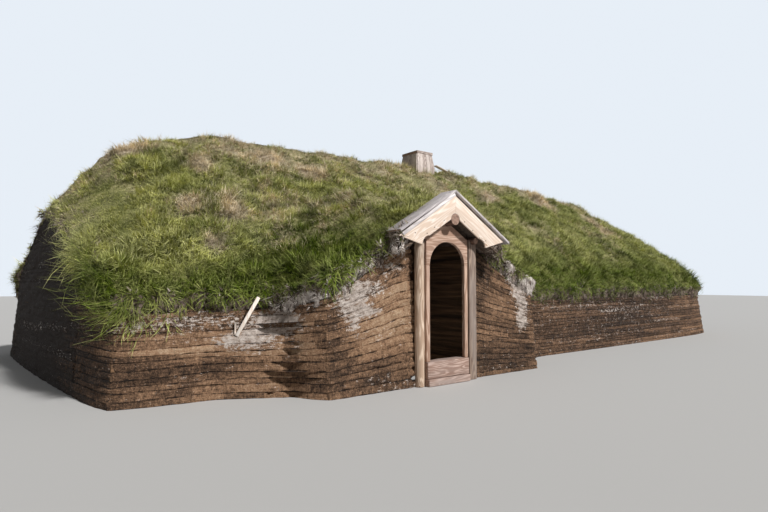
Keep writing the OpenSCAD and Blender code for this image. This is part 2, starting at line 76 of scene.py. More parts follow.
def ripple(place, scale, detail=3):
    return noise.fractal(Vector(place) * scale, 1.0, 2.0, detail)


def mergedCopy(nodeName):
    shape = bmesh.new()
    shape.from_mesh(nodes[nodeName].data)
    bmesh.ops.remove_doubles(shape, verts=shape.verts, dist=0.0005)
    return shape


def keepMesh(name, shape):
    mesh = bpy.data.meshes.new(name)
    shape.to_mesh(mesh)
    shape.free()
    return mesh


def putObject(name, data):
    thing = bpy.data.objects.new(name, data)
    scene.collection.objects.link(thing)
    return thing


def putPiece(name, shape, paints, smooth=True):
    mesh = keepMesh(name, shape)
    piece = putObject(name, mesh)
    for paint in paints:
        mesh.materials.append(paint)
    if smooth:
        mesh.shade_smooth()
    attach(piece, "root")
    return piece


def setFinish(nodeName, paint):
    nodes[nodeName].data.materials.clear()
    nodes[nodeName].data.materials.append(paint)


def addMesh(shape, mesh):
    before = len(shape.verts)
    shape.from_mesh(mesh)
    shape.verts.ensure_lookup_table()
    return shape.verts[before:]


def roundEdges(shape, edges, offset, segments=1):
    bmesh.ops.bevel(shape, geom=edges, offset=offset, segments=segments, profile=0.5, affect="EDGES",
                    material=-1, clamp_overlap=True)


def sharpEdges(shape, angle=0.6):
    return [edge for edge in shape.edges if edge.is_manifold and edge.calc_face_angle() > angle]


def cutThrough(shape, place, normal, **clear):
    found = bmesh.ops.bisect_plane(shape, geom=shape.verts[:] + shape.edges[:] + shape.faces[:],
                                   plane_co=place, plane_no=normal, **clear)
    return [part for part in found["geom_cut"] if isinstance(part, bmesh.types.BMEdge)]


# Camera, where the photographer stood: eye height, left of the door, looking slightly up
view = {"place": (-9.17, -10.085, 1.55), "heading": 37.0, "tilt": 2.8, "lens": 24.84, "sensor": 36.0}


def makeCamera():
    data = bpy.data.cameras.new("houseCamera")
    data.lens = view["lens"]
    data.sensor_width = view["sensor"]
    data.sensor_fit = "HORIZONTAL"
    camera = putObject("houseCamera", data)
    camera.location = view["place"]
    camera.rotation_euler = (math.radians(90 + view["tilt"]), 0, -math.radians(view["heading"]))
    scene.camera = camera


# Plain pale floor, a pale surround and soft lamps
studio = {"floorSize": 120.0, "floorColor": (0.50, 0.49, 0.475), "skyColor": (0.80, 0.86, 0.93),
          "fill": 0.15, "sunPower": 3.9, "sunTurn": 15.0, "sunHeight": 40.0, "sunSoftness": 5.0}


def makeFloor():
    shape = bmesh.new()
    bmesh.ops.create_grid(shape, x_segments=1, y_segments=1, size=studio["floorSize"] / 2)
    floor = putObject("studioFloor", keepMesh("studioFloor", shape))
    paint = bpy.data.materials.new("paleFloor")
    paint.use_nodes = True
    surface = paint.node_tree.nodes["Principled BSDF"]
    surface.inputs["Base Color"].default_value = (*studio["floorColor"], 1)
    surface.inputs["Roughness"].default_value = 0.9
    floor.data.materials.append(paint)


def makeLight():
    world = bpy.data.worlds.new("studioWorld")
    world.use_nodes = True
    scene.world = world
    tree = world.node_tree
    tree.nodes.clear()
    out = tree.nodes.new("ShaderNodeOutputWorld")
    fill = tree.nodes.new("ShaderNodeBackground")
    fill.inputs["Color"].default_value = (1, 1, 1, 1)
    fill.inputs["Strength"].default_value = studio["fill"]
    back = tree.nodes.new("ShaderNodeBackground")
    back.inputs["Color"].default_value = (*studio["skyColor"], 1)
    path = tree.nodes.new("ShaderNodeLightPath")
    seen = tree.nodes.new("ShaderNodeMath")
    seen.operation = "MAXIMUM"
    mix = tree.nodes.new("ShaderNodeMixShader")
    tree.links.new(path.outputs["Is Camera Ray"], seen.inputs[0])
    tree.links.new(path.outputs["Is Glossy Ray"], seen.inputs[1])
    tree.links.new(seen.outputs[0], mix.inputs[0])
    tree.links.new(fill.outputs[0], mix.inputs[1])
    tree.links.new(back.outputs[0], mix.inputs[2])
    tree.links.new(mix.outputs[0], out.inputs[0])
    lamp = bpy.data.lights.new("keyLamp", "SUN")
    lamp.energy = studio["sunPower"]
    lamp.angle = math.radians(studio["sunSoftness"])
    key = putObject("keyLamp", lamp)
    key.rotation_euler = (math.radians(90 - studio["sunHeight"]), 0, math.radians(studio["sunTurn"]))


makeCamera()
makeFloor()
makeLight()
scene.view_settings.view_transform = "Standard"
print("camera, floor and light are set")


# Shader helpers: each returns a socket
def newPaint(name, roughness=0.9):
    paint = bpy.data.materials.new(name)
    paint.use_nodes = True
    surface = paint.node_tree.nodes["Principled BSDF"]
    surface.inputs["Roughness"].default_value = roughness
    surface.inputs["Specular IOR Level"].default_value = 0.25
    return paint, paint.node_tree


def closePaint(paint, color, height=None, strength=1.0, distance=0.004):
    tree = paint.node_tree
    surface = tree.nodes["Principled BSDF"]
    tree.links.new(color, surface.inputs["Base Color"])
    if height is not None:
        bump = tree.nodes.new("ShaderNodeBump")
        bump.inputs["Strength"].default_value = strength
        bump.inputs["Distance"].default_value = distance
        tree.links.new(height, bump.inputs["Height"])
        tree.links.new(bump.outputs["Normal"], surface.inputs["Normal"])
    return paint


def addMapping(tree, scale, turn=(0, 0, 0)):
    place = tree.nodes.new("ShaderNodeTexCoord")
    mapping = tree.nodes.new("ShaderNodeMapping")
    mapping.vector_type = "TEXTURE"
    mapping.inputs["Rotation"].default_value = turn
    tree.links.new(place.outputs["Object"], mapping.inputs["Vector"])
    stretch = tree.nodes.new("ShaderNodeVectorMath")
    stretch.operation = "MULTIPLY"
    stretch.inputs[1].default_value = scale
    tree.links.new(mapping.outputs["Vector"], stretch.inputs[0])
    return stretch.outputs["Vector"]


# The vector is a socket, or how much the place on the object is stretched
def addNoise(tree, vector, scale, detail=4.0, roughness=0.6, distortion=0.0):
    grain = tree.nodes.new("ShaderNodeTexNoise")
    for title, value in (("Scale", scale), ("Detail", detail), ("Roughness", roughness),
                         ("Distortion", distortion)):
        grain.inputs[title].default_value = value
    vector = addMapping(tree, vector) if isinstance(vector, tuple) else vector
    tree.links.new(vector, grain.inputs["Vector"])
    return grain.outputs["Fac"]


def addRamp(tree, value, stops):
    ramp = tree.nodes.new("ShaderNodeValToRGB")
    marks = ramp.color_ramp.elements
    while len(marks) < len(stops):
        marks.new(0.5)
    for mark, (spot, color) in zip(marks, stops):
        mark.position = spot
        mark.color = (*color, 1) if len(color) == 3 else color
    tree.links.new(value, ramp.inputs["Fac"])
    return ramp.outputs["Color"]


def addMix(tree, factor, first, second, mode="MIX"):
    mix = tree.nodes.new("ShaderNodeMix")
    mix.data_type = "RGBA"
    mix.blend_type = mode
    if isinstance(factor, float):
        mix.inputs["Factor"].default_value = factor
    else:
        tree.links.new(factor, mix.inputs["Factor"])
    for socket, value in (("A", first), ("B", second)):
        target = [entry for entry in mix.inputs if entry.name == socket and entry.type == "RGBA"][0]
        if isinstance(value, tuple):
            target.default_value = (*value, 1)
        else:
            tree.links.new(value, target)
    return [entry for entry in mix.outputs if entry.type == "RGBA"][0]


def addMath(tree, operation, first, second=0.0):
    step = tree.nodes.new("ShaderNodeMath")
    step.operation = operation
    for index, value in enumerate((first, second)):
        if isinstance(value, (int, float)):
            step.inputs[index].default_value = value
        else:
            tree.links.new(value, step.inputs[index])
    return step.outputs[0]


# The sum of sockets, each with its share
def addSum(tree, *parts):
    total = addMath(tree, "MULTIPLY", *parts[0])
    for value, share in parts[1:]:
        total = addMath(tree, "ADD", total, addMath(tree, "MULTIPLY", value, share))
    return total


def addAttribute(tree, name):
    entry = tree.nodes.new("ShaderNodeAttribute")
    entry.attribute_name = name
    return entry.outputs["Fac"]


# Finishes of the turf
plain = (1.0, 1.0, 1.0)


def addCourseVector(tree, alongScale, layerScale):
    place = tree.nodes.new("ShaderNodeTexCoord")
    parts = tree.nodes.new("ShaderNodeSeparateXYZ")
    tree.links.new(place.outputs["Object"], parts.inputs[0])
    joined = tree.nodes.new("ShaderNodeCombineXYZ")
    for axis in "XY":
        tree.links.new(addMath(tree, "MULTIPLY", parts.outputs[axis], alongScale), joined.inputs[axis])
    tree.links.new(addMath(tree, "MULTIPLY", addAttribute(tree, "course"), layerScale), joined.inputs["Z"])
    return joined.outputs["Vector"]


# Bleached places, broken up by a share of grain and cut off steeply
def makePaleGroup():
    group = bpy.data.node_groups.new("paleMask", "ShaderNodeTree")
    for title in ("Bleach", "Grain", "Share", "Start", "Steep"):
        group.interface.new_socket(title, in_out="INPUT", socket_type="NodeSocketFloat")
    group.interface.new_socket("Mask", in_out="OUTPUT", socket_type="NodeSocketFloat")
    given = group.nodes.new("NodeGroupInput").outputs
    end = group.nodes.new("NodeGroupOutput")
    mask = addMath(group, "ADD", given["Bleach"], addMath(group, "MULTIPLY", given["Grain"], given["Share"]))
    mask = addMath(group, "MULTIPLY", addMath(group, "SUBTRACT", mask, given["Start"]), given["Steep"])
    mask = addMath(group, "MINIMUM", addMath(group, "MAXIMUM", mask, 0.0), 0.96)
    group.links.new(mask, end.inputs["Mask"])
    return group


paleGroup = makePaleGroup()


def addPaleMask(tree, grain, share, start, steep):
    mask = tree.nodes.new("ShaderNodeGroup")
    mask.node_tree = paleGroup
    tree.links.new(addAttribute(tree, "bleach"), mask.inputs["Bleach"])
    tree.links.new(grain, mask.inputs["Grain"])
    for title, value in (("Share", share), ("Start", start), ("Steep", steep)):
        mask.inputs[title].default_value = value
    return mask.outputs["Mask"]


# Dark joints between the courses, broken here and there
def addJoints(tree):
    joint = addMath(tree, "SUBTRACT", addMath(tree, "FRACT", addAttribute(tree, "course")), 0.5)
    joint = addMath(tree, "MAXIMUM", addMath(tree, "SUBTRACT", addMath(tree, "ABSOLUTE", joint), 0.39), 0.0)
    broken = addNoise(tree, addCourseVector(tree, 3.0, 0.9), 2.2, 4.0, 0.7)
    broken = addMath(tree, "MAXIMUM", addMath(tree, "SUBTRACT", broken, 0.42), 0.0)
    return addMath(tree, "MULTIPLY", joint, addMath(tree, "MULTIPLY", broken, 22.0))


def makeStripPaint():
    paint, tree = newPaint("stripTurf", 0.95)
    fibre = addNoise(tree, (1.0, 1.0, 0.5), 30.0, 6.0, 0.75, 0.5)
    crumb = addNoise(tree, plain, 75.0, 4.0, 0.7)
    thin = addNoise(tree, addCourseVector(tree, 11.0, 4.5), 1.0, 6.0, 0.75, 0.4)
    layers = addNoise(tree, addCourseVector(tree, 1.8, 1.4), 2.0, 4.0, 0.65, 0.2)
    patch = addNoise(tree, plain, 2.3, 5.0, 0.65)
    mixed = addSum(tree, (addAttribute(tree, "tone"), 0.75), (fibre, 0.85), (crumb, 0.70), (thin, 0.70),
                   (layers, 0.30), (patch, 0.35))
    mixed = addMath(tree, "SUBTRACT", addMath(tree, "SUBTRACT", mixed, 1.33), addJoints(tree))
    color = addRamp(tree, mixed, [(0.24, (0.024, 0.015, 0.010)), (0.44, (0.13, 0.075, 0.045)),
                                  (0.68, (0.40, 0.235, 0.135)), (0.96, (0.62, 0.45, 0.30))])
    flake = addNoise(tree, plain, 16.0, 5.0, 0.7)
    grain = addSum(tree, (thin, 0.4), (crumb, 0.2), (flake, 0.4))
    light = addRamp(tree, grain, [(0.38, (0.10, 0.075, 0.06)), (0.48, (0.50, 0.41, 0.35)),
                                  (0.58, (0.80, 0.71, 0.64))])
    color = addMix(tree, addPaleMask(tree, grain, 4.6, 2.72, 4.0), color, light)
    return closePaint(paint, color, mixed, 1.0, 0.035)


def makeCorePaint():
    paint, tree = newPaint("coreTurf", 0.95)
    course = addNoise(tree, (0.6, 0.6, 13.0), 1.1, 5.0, 0.6)
    color = addRamp(tree, course, [(0.32, (0.03, 0.02, 0.014)), (0.5, (0.12, 0.07, 0.04)),
                                   (0.7, (0.26, 0.15, 0.08))])
    return closePaint(paint, color, course, 0.9, 0.04)


def makeSodPaint():
    paint, tree = newPaint("sodGround", 0.95)
    coarse = addNoise(tree, plain, 3.0, 5.0, 0.65)
    fine = addNoise(tree, (1.0, 0.6, 0.6), 40.0, 6.0, 0.75)
    mixed = addSum(tree, (coarse, 0.4), (fine, 0.6))
    color = addRamp(tree, mixed, [(0.36, (0.04, 0.045, 0.010)), (0.5, (0.17, 0.18, 0.050)),
                                  (0.62, (0.36, 0.33, 0.14))])
    dry = addRamp(tree, mixed, [(0.36, (0.12, 0.09, 0.06)), (0.5, (0.38, 0.30, 0.21)),
                                (0.62, (0.62, 0.53, 0.41))])
    color = addMix(tree, addAttribute(tree, "dry"), color, dry)
    return closePaint(paint, color, fine, 0.8, 0.03)


def makeRootPaint():
    paint, tree = newPaint("rootMat", 0.95)
    fibre = addNoise(tree, (1.0, 1.0, 0.30), 26.0, 6.0, 0.75, 0.6)
    clod = addNoise(tree, (1.0, 1.0, 0.8), 7.0, 5.0, 0.7)
    mixed = addSum(tree, (fibre, 0.6), (clod, 0.5))
    color = addRamp(tree, mixed, [(0.42, (0.018, 0.013, 0.010)), (0.51, (0.10, 0.072, 0.055)),
                                  (0.60, (0.27, 0.205, 0.165)), (0.72, (0.46, 0.38, 0.32))])
    light = addRamp(tree, mixed, [(0.45, (0.09, 0.07, 0.06)), (0.55, (0.42, 0.36, 0.32)),
                                  (0.66, (0.76, 0.70, 0.64))])
    color = addMix(tree, addPaleMask(tree, fibre, 2.4, 1.68, 4.0), color, light)
    return closePaint(paint, color, mixed, 1.0, 0.04)


def makeGrassPaint():
    paint, tree = newPaint("grassBlades", 0.75)
    rise, tone = addAttribute(tree, "rise"), addAttribute(tree, "tone")
    clumpLight = addNoise(tree, plain, 3.2, 3.0, 0.6, 0.3)
    streak = addMath(tree, "SUBTRACT", addNoise(tree, (5.0, 1.3, 1.3), 2.4, 4.0, 0.65), 0.5)
    # Blades darken toward the root, partly their own colour and partly painted shade deep in the sward; the
    # deep green ramp is also darkened as painted shade
    lushAndShade, olive, straw = (addRamp(tree, rise, list(zip((0.0, 0.45, 1.0), colors))) for colors in (
        ((0.010, 0.017, 0.001), (0.066, 0.105, 0.001), (0.20, 0.285, 0.008)),
        ((0.15, 0.155, 0.045), (0.46, 0.47, 0.15), (0.78, 0.74, 0.38)),
        ((0.34, 0.27, 0.17), (0.72, 0.60, 0.41), (0.92, 0.82, 0.64))))
    ripe = addSum(tree, (addAttribute(tree, "olive"), 1.0), (tone, 0.35), (streak, 1.6))
    green = addMix(tree, addMath(tree, "MINIMUM", addMath(tree, "MAXIMUM", ripe, 0.0), 1.0), lushAndShade, olive)
    wilt = addSum(tree, (addAttribute(tree, "dry"), 1.0), (tone, 0.5), (streak, 0.9))
    color = addMix(tree, addMath(tree, "GREATER_THAN", wilt, 0.66), green, straw)
    # Painted shade between the grass clumps and painted highlight on their crests, from a noise multiplied
    # into the colour
    depth = addRamp(tree, clumpLight, [(0.36, (0.50, 0.52, 0.50)), (0.50, (0.98, 0.98, 0.98)),
                                  (0.64, (1.30, 1.28, 1.20))])
    return closePaint(paint, addMix(tree, 1.0, color, depth, "MULTIPLY"))


def makeRootBladePaint():
    paint, tree = newPaint("rootBlades", 0.9)
    tone = addAttribute(tree, "tone")
    mixed = addSum(tree, (tone, 0.35), (addNoise(tree, plain, 9.0, 4.0, 0.7), 1.0))
    color = addRamp(tree, mixed, [(0.50, (0.05, 0.035, 0.027)), (0.64, (0.22, 0.165, 0.13)),
                                  (0.80, (0.50, 0.42, 0.36))])
    pale = addSum(tree, (addAttribute(tree, "bleach"), 1.4), (tone, 0.9))
    return closePaint(paint, addMix(tree, addMath(tree, "GREATER_THAN", pale, 1.05), color,
                                    (0.78, 0.71, 0.65)))


stripPaint = makeStripPaint()
corePaint = makeCorePaint()
sodPaint = makeSodPaint()
rootPaint = makeRootPaint()
grassPaint = makeGrassPaint()
rootBladePaint = makeRootBladePaint()
print("turf finishes are mixed")


# Walls: strips of turf laid in courses over the outer faces of the solid walls. Strip fronts pressed under
# the roof turf are darkened as painted shade under the sod's edge, and the courses follow a rising wall top
# by the share follow.
courses = {"gap": 0.002, "wave": 0.022, "shortest": 1.0, "longest": 2.6, "smallest": 0.08, "proud": 0.010,
           "front": 0.012, "back": 0.05, "rough": 0.016, "rounding": 0.005, "underTop": 0.005, "underSodShade": 0.5,
           "follow": 0.55, "shortCuts": 7}
# How a wall is felt for: where a ray starts and how far it goes, steps along and up, lowest and highest top
probe = {"away": 9.0, "reach": 12.0, "step": 0.1, "rise": 0.03, "lowest": 0.3, "highest": 4.2,
         "outermost": 0.5}
# The hollow beside a wing wall: shorter strips, and a fill that fades out below the wall's top
hollow = {"share": 0.25, "margin": 0.4, "fill": 0.32, "fade": 0.5}

# Each run of strips: its cuts along a strip, course heights, tone, the hollow beside a wing wall, how far
# strips reach past its start, and the path of its outer face. A path is made of straights (along which axis,
# from, to, outward side) and quarter turns (about which middle, from and to which angle).
rightX, leftX, cornerX = 7.1, -6.85, 7.3
noHollow = (0.0, -1.0)
wingLeft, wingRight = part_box("left_wing_wall"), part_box("right_wing_wall")
frontY, backY = (corner[1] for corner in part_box("left_end_wall"))
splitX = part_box("back_wall_right")[0][0]
walls = [
    {"piece": "front_left_strips", "cuts": 27, "layers": (0.07, 0.11), "tone": (0.60, 0.12),
     "hollow": (1.3, 3.0), "reach": 0.11,
     "path": [("x", wingLeft[1][0], leftX, -1), ("turn", leftX, frontY, 270, 180), ("y", frontY, backY, -1),
              ("turn", -cornerX, backY, 180, 90)]},
    {"piece": "back_left_strips", "cuts": 9, "layers": (0.07, 0.11), "tone": (0.50, 0.2),
     "hollow": noHollow, "reach": 0.0,
     "path": [("x", -cornerX, splitX, 1)]},
    {"piece": "back_right_strips", "cuts": 9, "layers": (0.07, 0.11), "tone": (0.50, 0.2),
     "hollow": noHollow, "reach": 0.0,
     "path": [("x", splitX, cornerX, 1)]},
    {"piece": "front_right_strips", "cuts": 17, "layers": (0.055, 0.085), "tone": (0.48, 0.12),
     "hollow": (1.5, 3.0), "reach": 0.04,
     "path": [("x", wingRight[0][0], rightX, -1), ("turn", rightX, frontY, -90, 0), ("y", frontY, backY, 1),
              ("turn", cornerX, backY, 0, 90)]},
]
wallNodes = ["left_wing_wall", "front_wall_left", "left_end_wall", "back_wall_left", "back_wall_right",
             "right_end_wall", "front_wall_right", "right_wing_wall"]
wallSolids = bmesh.new()
for nodeName in wallNodes:
    wallSolids.from_mesh(nodes[nodeName].data)
wallTree = BVHTree.FromBMesh(wallSolids)
wallSolids.free()

# Places on the walls that are lighter, darker or bleached: middle, reach, change of tone, bleaching. One
# darkens the whole left end as painted shade.
wallSpots = [
    ((-4.4, -3.9, 1.20), (0.55, 0.6, 0.62), 0.21, 0.0),
    ((-4.6, -3.9, 0.15), (0.9, 0.6, 0.36), -0.24, 0.0),
    ((-5.78, -3.55, 0.68), (0.20, 0.28, 0.30), 0.26, 0.0),
    ((-5.40, -3.9, 0.75), (0.22, 0.4, 0.40), -0.20, 0.0),
    ((-5.10, -3.9, 1.22), (0.28, 0.6, 0.17), 0.0, 0.85),
    ((-4.82, -3.9, 1.14), (0.22, 0.6, 0.05), 0.0, 0.9),
    ((-5.10, -3.9, 0.96), (0.11, 0.6, 0.13), 0.1, 0.8),
    ((-4.92, -3.9, 1.46), (0.42, 0.6, 0.15), -0.25, 0.62),
    ((-4.45, -3.9, 1.78), (0.35, 0.6, 0.12), -0.25, 0.50),
    ((-5.85, -3.30, 1.00), (0.24, 0.4, 0.18), 0.1, 1.2),
    ((-6.15, -3.05, 0.74), (0.28, 0.3, 0.17), 0.1, 1.1),
    ((-6.50, -3.0, 0.76), (0.25, 0.3, 0.09), 0.1, 0.6),
    ((-7.5, -2.9, 0.84), (0.70, 0.4, 0.045), 0.20, 0.10),
    ((-7.1, -2.9, 0.66), (0.80, 0.4, 0.06), 0.22, 0.10),
    ((-7.6, -2.9, 1.05), (0.30, 0.4, 0.10), 0.12, 0.0),
    ((-7.0, -2.9, 1.02), (1.0, 0.4, 0.12), -0.14, 0.52),
    ((-7.0, -2.9, 0.42), (1.4, 0.4, 0.13), -0.22, 0.0),
    # Painted shade: the whole left end, which faces away from the sun, is darkened
    ((-8.6, 0.9, 1.2), (1.0, 3.3, 3.0), -0.95, 0.0),
    ((-2.6, -3.9, 1.6), (0.30, 0.6, 0.6), -0.16, 0.0),
    ((-1.95, -3.9, 1.05), (0.6, 0.6, 0.45), 0.12, 0.0),
    ((-2.0, -3.9, 0.25), (1.3, 0.6, 0.36), -0.12, 0.0),
    ((-1.62, -3.9, 1.62), (0.18, 0.6, 0.28), 0.0, 0.9),
    ((-1.48, -3.9, 1.20), (0.17, 0.6, 0.30), 0.0, 0.85),
    ((-1.50, -3.9, 0.85), (0.14, 0.6, 0.16), 0.0, 0.8),
    ((3.2, -3.1, 0.8), (3.6, 0.6, 0.9), -0.20, 0.18),
]


def wallChange(place):
    tone = bleach = 0.0
    for middle, reach, toneThere, bleachThere in wallSpots:
        near = math.exp(-sum(((place[axis] - middle[axis]) / reach[axis]) ** 2 for axis in range(3)))
        tone += toneThere * near
        bleach += bleachThere * near
    return tone, bleach


def pathRays(path, step=0.05, turnRadius=1.3):
    rays = []
    for leg in path:
        if leg[0] == "turn":
            kind, middleX, middleY, first, last = leg
            length = math.radians(abs(last - first)) * turnRadius
            count = max(2, round(length / step))
            for index in range(count + 1):
                angle = math.radians(first + (last - first) * index / count)
                outward = Vector((math.cos(angle), math.sin(angle), 0))
                rays.append((Vector((middleX, middleY, 0)), outward, length / count))
        else:
            axis, first, last, side = leg
            count = max(2, round(abs(last - first) / step))
            outward = Vector((0, side, 0)) if axis == "x" else Vector((side, 0, 0))
            for index in range(count + 1):
                along = first + (last - first) * index / count
                foot = Vector((along, 0, 0)) if axis == "x" else Vector((0, along, 0))
                rays.append((foot, outward, abs(last - first) / count))
    return rays


def makeStripTemplate(cuts):
    shape = bmesh.new()
    bmesh.ops.create_cube(shape, size=1.0, matrix=Matrix.Translation((0.5, 0.5, 0.5)))
    front = [edge for edge in shape.edges if max(vert.co.y for vert in edge.verts) < 0.1]
    long = [edge for edge in front if abs(edge.verts[0].co.x - edge.verts[1].co.x) > 0.5]
    bmesh.ops.subdivide_edges(shape, edges=long, cuts=cuts, use_grid_fill=True)
    upright = [edge for edge in shape.edges if abs(edge.verts[0].co.z - edge.verts[1].co.z) > 0.5
               and max(vert.co.y for vert in edge.verts) < 0.1]
    bmesh.ops.subdivide_edges(shape, edges=upright, cuts=2, use_grid_fill=True)
    return keepMesh("stripTemplate", shape)


def layStrips(wall, template, shortTemplate, draw):
    rays = pathRays(wall["path"])
    starts = [0.0]
    for before, ray in zip(rays, rays[1:]):
        starts.append(starts[-1] + (0.0 if ray[0] == before[0] and ray[1] == before[1] else ray[2]))
    length = starts[-1]
    wallEnd = (rays[0][0] - rays[1][0]).normalized()
    hollowFrom, hollowTo = wall["hollow"]

    def spotAt(along):
        along = within(along, 0.004, length - 0.004)
        low = bisect.bisect_right(starts, along) - 1
        span = starts[low + 1] - starts[low]
        share = 0.0 if span < 1e-6 else (along - starts[low]) / span
        foot = rays[low][0].lerp(rays[low + 1][0], share)
        return foot, rays[low][1].lerp(rays[low + 1][1], share).normalized()

    def castAt(along, height):
        foot, outward = spotAt(along)
        origin = foot + outward * probe["away"] + Vector((0, 0, height))
        hit, facing = wallTree.ray_cast(origin, -outward, probe["reach"])[:2]
        if hit is not None and facing.z > probe["outermost"]:
            hit = None
        return hit, outward

    # The hollow where a wing wall meets the long wall is filled to a gentle curve
    def filledAt(along, height):
        hit, outward = castAt(along, height)
        if hit is None or not hollowFrom - hollow["margin"] < along < hollowTo + hollow["margin"]:
            return hit, outward
        near = [wallTree.ray_cast(hit + outward * 6.0 + Vector((side * 0.2, 0, 0)), -outward, 9.0)[0]
                for side in range(-4, 5)]
        near = [spot.dot(outward) for spot in near if spot is not None]
        fill = within(sum(near) / len(near) - hit.dot(outward), 0.0, hollow["fill"])
        return hit + outward * fill * within((topAt(along) - height) / hollow["fade"]), outward

    felt = []
    for index in range(int(length / probe["step"]) + 2):
        height = probe["lowest"]
        while height < probe["highest"] and castAt(index * probe["step"], height)[0] is not None:
            height += probe["rise"]
        felt.append(height)
    tops = []
    for index in range(len(felt)):
        near = felt[max(index - 2, 0):index + 3]
        tops.append(sum(near) / len(near))

    def topAt(along):
        spot = within(along / probe["step"], 0.0, len(tops) - 1.001)
        index = int(spot)
        return tops[index] + (tops[index + 1] - tops[index]) * (spot - index)

    lowTop = topAt(max(hollowTo, 0.1))

    def edgeHeight(row, along):
        bend = 1 + (courses["follow"] * (topAt(along) - lowTop) / lowTop if along < hollowTo else 0.0)
        wave = courses["wave"] * (noise.noise(Vector((along * 0.9, row * 7.3, 1.7)))
                                  + 0.45 * noise.noise(Vector((along * 4.7, row * 3.3, 9.1))))
        return max(0.0, beds[row] * bend + (wave if row > 0 else 0.0))

    shape = bmesh.new()
    toneLayer = shape.verts.layers.float.new("tone")
    bleachLayer = shape.verts.layers.float.new("bleach")
    courseLayer = shape.verts.layers.float.new("course")
    beds = [0.0]
    while beds[-1] < max(tops):
        beds.append(beds[-1] + draw.uniform(*wall["layers"]))
    for row in range(len(beds) - 1):
        along = -draw.uniform(0, courses["longest"])
        while along < length:
            stripLength = draw.uniform(courses["shortest"], courses["longest"])
            inHollow = along < hollowTo and along + stripLength > hollowFrom
            if inHollow:
                stripLength *= hollow["share"]
            first = max(along, -wall["reach"] * draw.uniform(0.5, 1.0))
            last = min(along + stripLength - 0.001, length)
            along += stripLength
            proud = draw.uniform(0.3, 1.0) * courses["proud"]
            edgeWear = draw.uniform(0.3, 1.3)
            tone = wall["tone"][0] + draw.uniform(-1, 1) * wall["tone"][1]
            bleach = 0.25 * draw.uniform(0, 1) ** 6
            above = all(edgeHeight(row, at) > topAt(at) - 0.02 for at in (first, (first + last) / 2, last))
            if last - first < courses["smallest"] or above:
                continue
            for vert in addMesh(shape, shortTemplate if inHollow else template):
                u, w, v = vert.co
                place = first + u * (last - first)
                bottom = edgeHeight(row, place) + courses["gap"] / 2
                top = edgeHeight(row + 1, place) - courses["gap"] / 2
                wanted, limit = bottom + v * (top - bottom), topAt(place) - courses["underTop"]
                height = lower = min(wanted, limit)
                hit, outward = filledAt(place, height)
                while hit is None and lower > 0.1:
                    lower -= 0.05
                    hit, outward = filledAt(place, lower)
                rounding = courses["rounding"] * edgeWear * (abs(v - 0.5) * 2) ** 4
                fine = noise.noise(Vector((place * 19.0, row * 5.0, height * 36.0)))
                rough = courses["rough"] * (ripple((place * 3.0, row * 0.7, height * 9.0), 1.6) + 0.7 * fine)
                depth = proud + rough - rounding + courses["front"] if w < 0.5 else -courses["back"]
                vert.co = Vector((hit.x, hit.y, height)) + outward * depth + wallEnd * max(-place, 0.0)
                vert[courseLayer] = row + v
                toneThere, bleachThere = wallChange(hit)
                # Painted shade: front faces clamped under the roof turf are darkened, standing for the shade
                # beneath the sod's edge
                underSodShade = courses["underSodShade"] if wanted > limit and w < 0.5 else 0.0
                vert[toneLayer] = tone + toneThere - underSodShade
                vert[bleachLayer] = min(bleach + bleachThere, 1.0)
    bmesh.ops.recalc_face_normals(shape, faces=shape.faces)
    piece = putPiece(wall["piece"], shape, [stripPaint])
    piece.data.set_sharp_from_angle(angle=math.radians(50))
    return piece


for nodeName in wallNodes:
    setFinish(nodeName, corePaint)
for number, wall in enumerate(walls):
    template, shortTemplate = makeStripTemplate(wall["cuts"]), makeStripTemplate(courses["shortCuts"])
    piece = layStrips(wall, template, shortTemplate, random.Random(40 + number))
    bpy.data.meshes.remove(template)
    bpy.data.meshes.remove(shortTemplate)
    print("strips laid:", piece.name, len(piece.data.polygons), "faces")


# Roof turf: the solid's outer faces are divided and given tussocks, its edges become a ragged root mat.
# A face that tilts past sideTilt counts as a side, and the mat is bare of grass from bareFrom on.
sod = {"step": 0.14, "edgeStep": 0.06, "tussock": 0.11, "tussockScale": 1.5, "lump": 0.08, "lumpScale": 3.6,
       "ragged": 0.085, "raggedScale": (9.0, 9.0, 3.0), "droop": 0.12, "sideTilt": 0.25, "bareFrom": 0.3}
# Each roof: its node, and how dense the grass on it, the fringe at its edge and the roots below that are
roofs = [
    {"node": "front_turf_left", "density": 1.0, "fringe": 1.0, "roots": 1.1},
    {"node": "porch_turf", "density": 0.98, "fringe": 1.0, "roots": 1.0},
    {"node": "front_turf_right", "density": 0.66, "fringe": 0.7, "roots": 0.75},
    {"node": "left_end_turf", "density": 1.0, "fringe": 0.55, "roots": 0.28},
    {"node": "right_end_turf", "density": 0.42, "fringe": 0.35, "roots": 0.2},
    {"node": "back_turf_left", "density": 0.25, "fringe": 0.25, "roots": 0.12},
    {"node": "back_turf_right", "density": 0.25, "fringe": 0.25, "roots": 0.12},
]
# Places where the roof is bare and dry: middle in plan and radius
barePatches = [(-6.15, -0.6, 0.24), (-3.89, -0.56, 0.25), (-6.63, -1.65, 0.18), (-6.05, -1.82, 0.20),
               (-6.5, -2.44, 0.15), (-4.65, -0.2, 0.3), (-7.2, 0.4, 0.25), (1.5, -0.6, 0.3),
               (4.24, -0.34, 0.4), (6.0, -1.0, 0.4)]


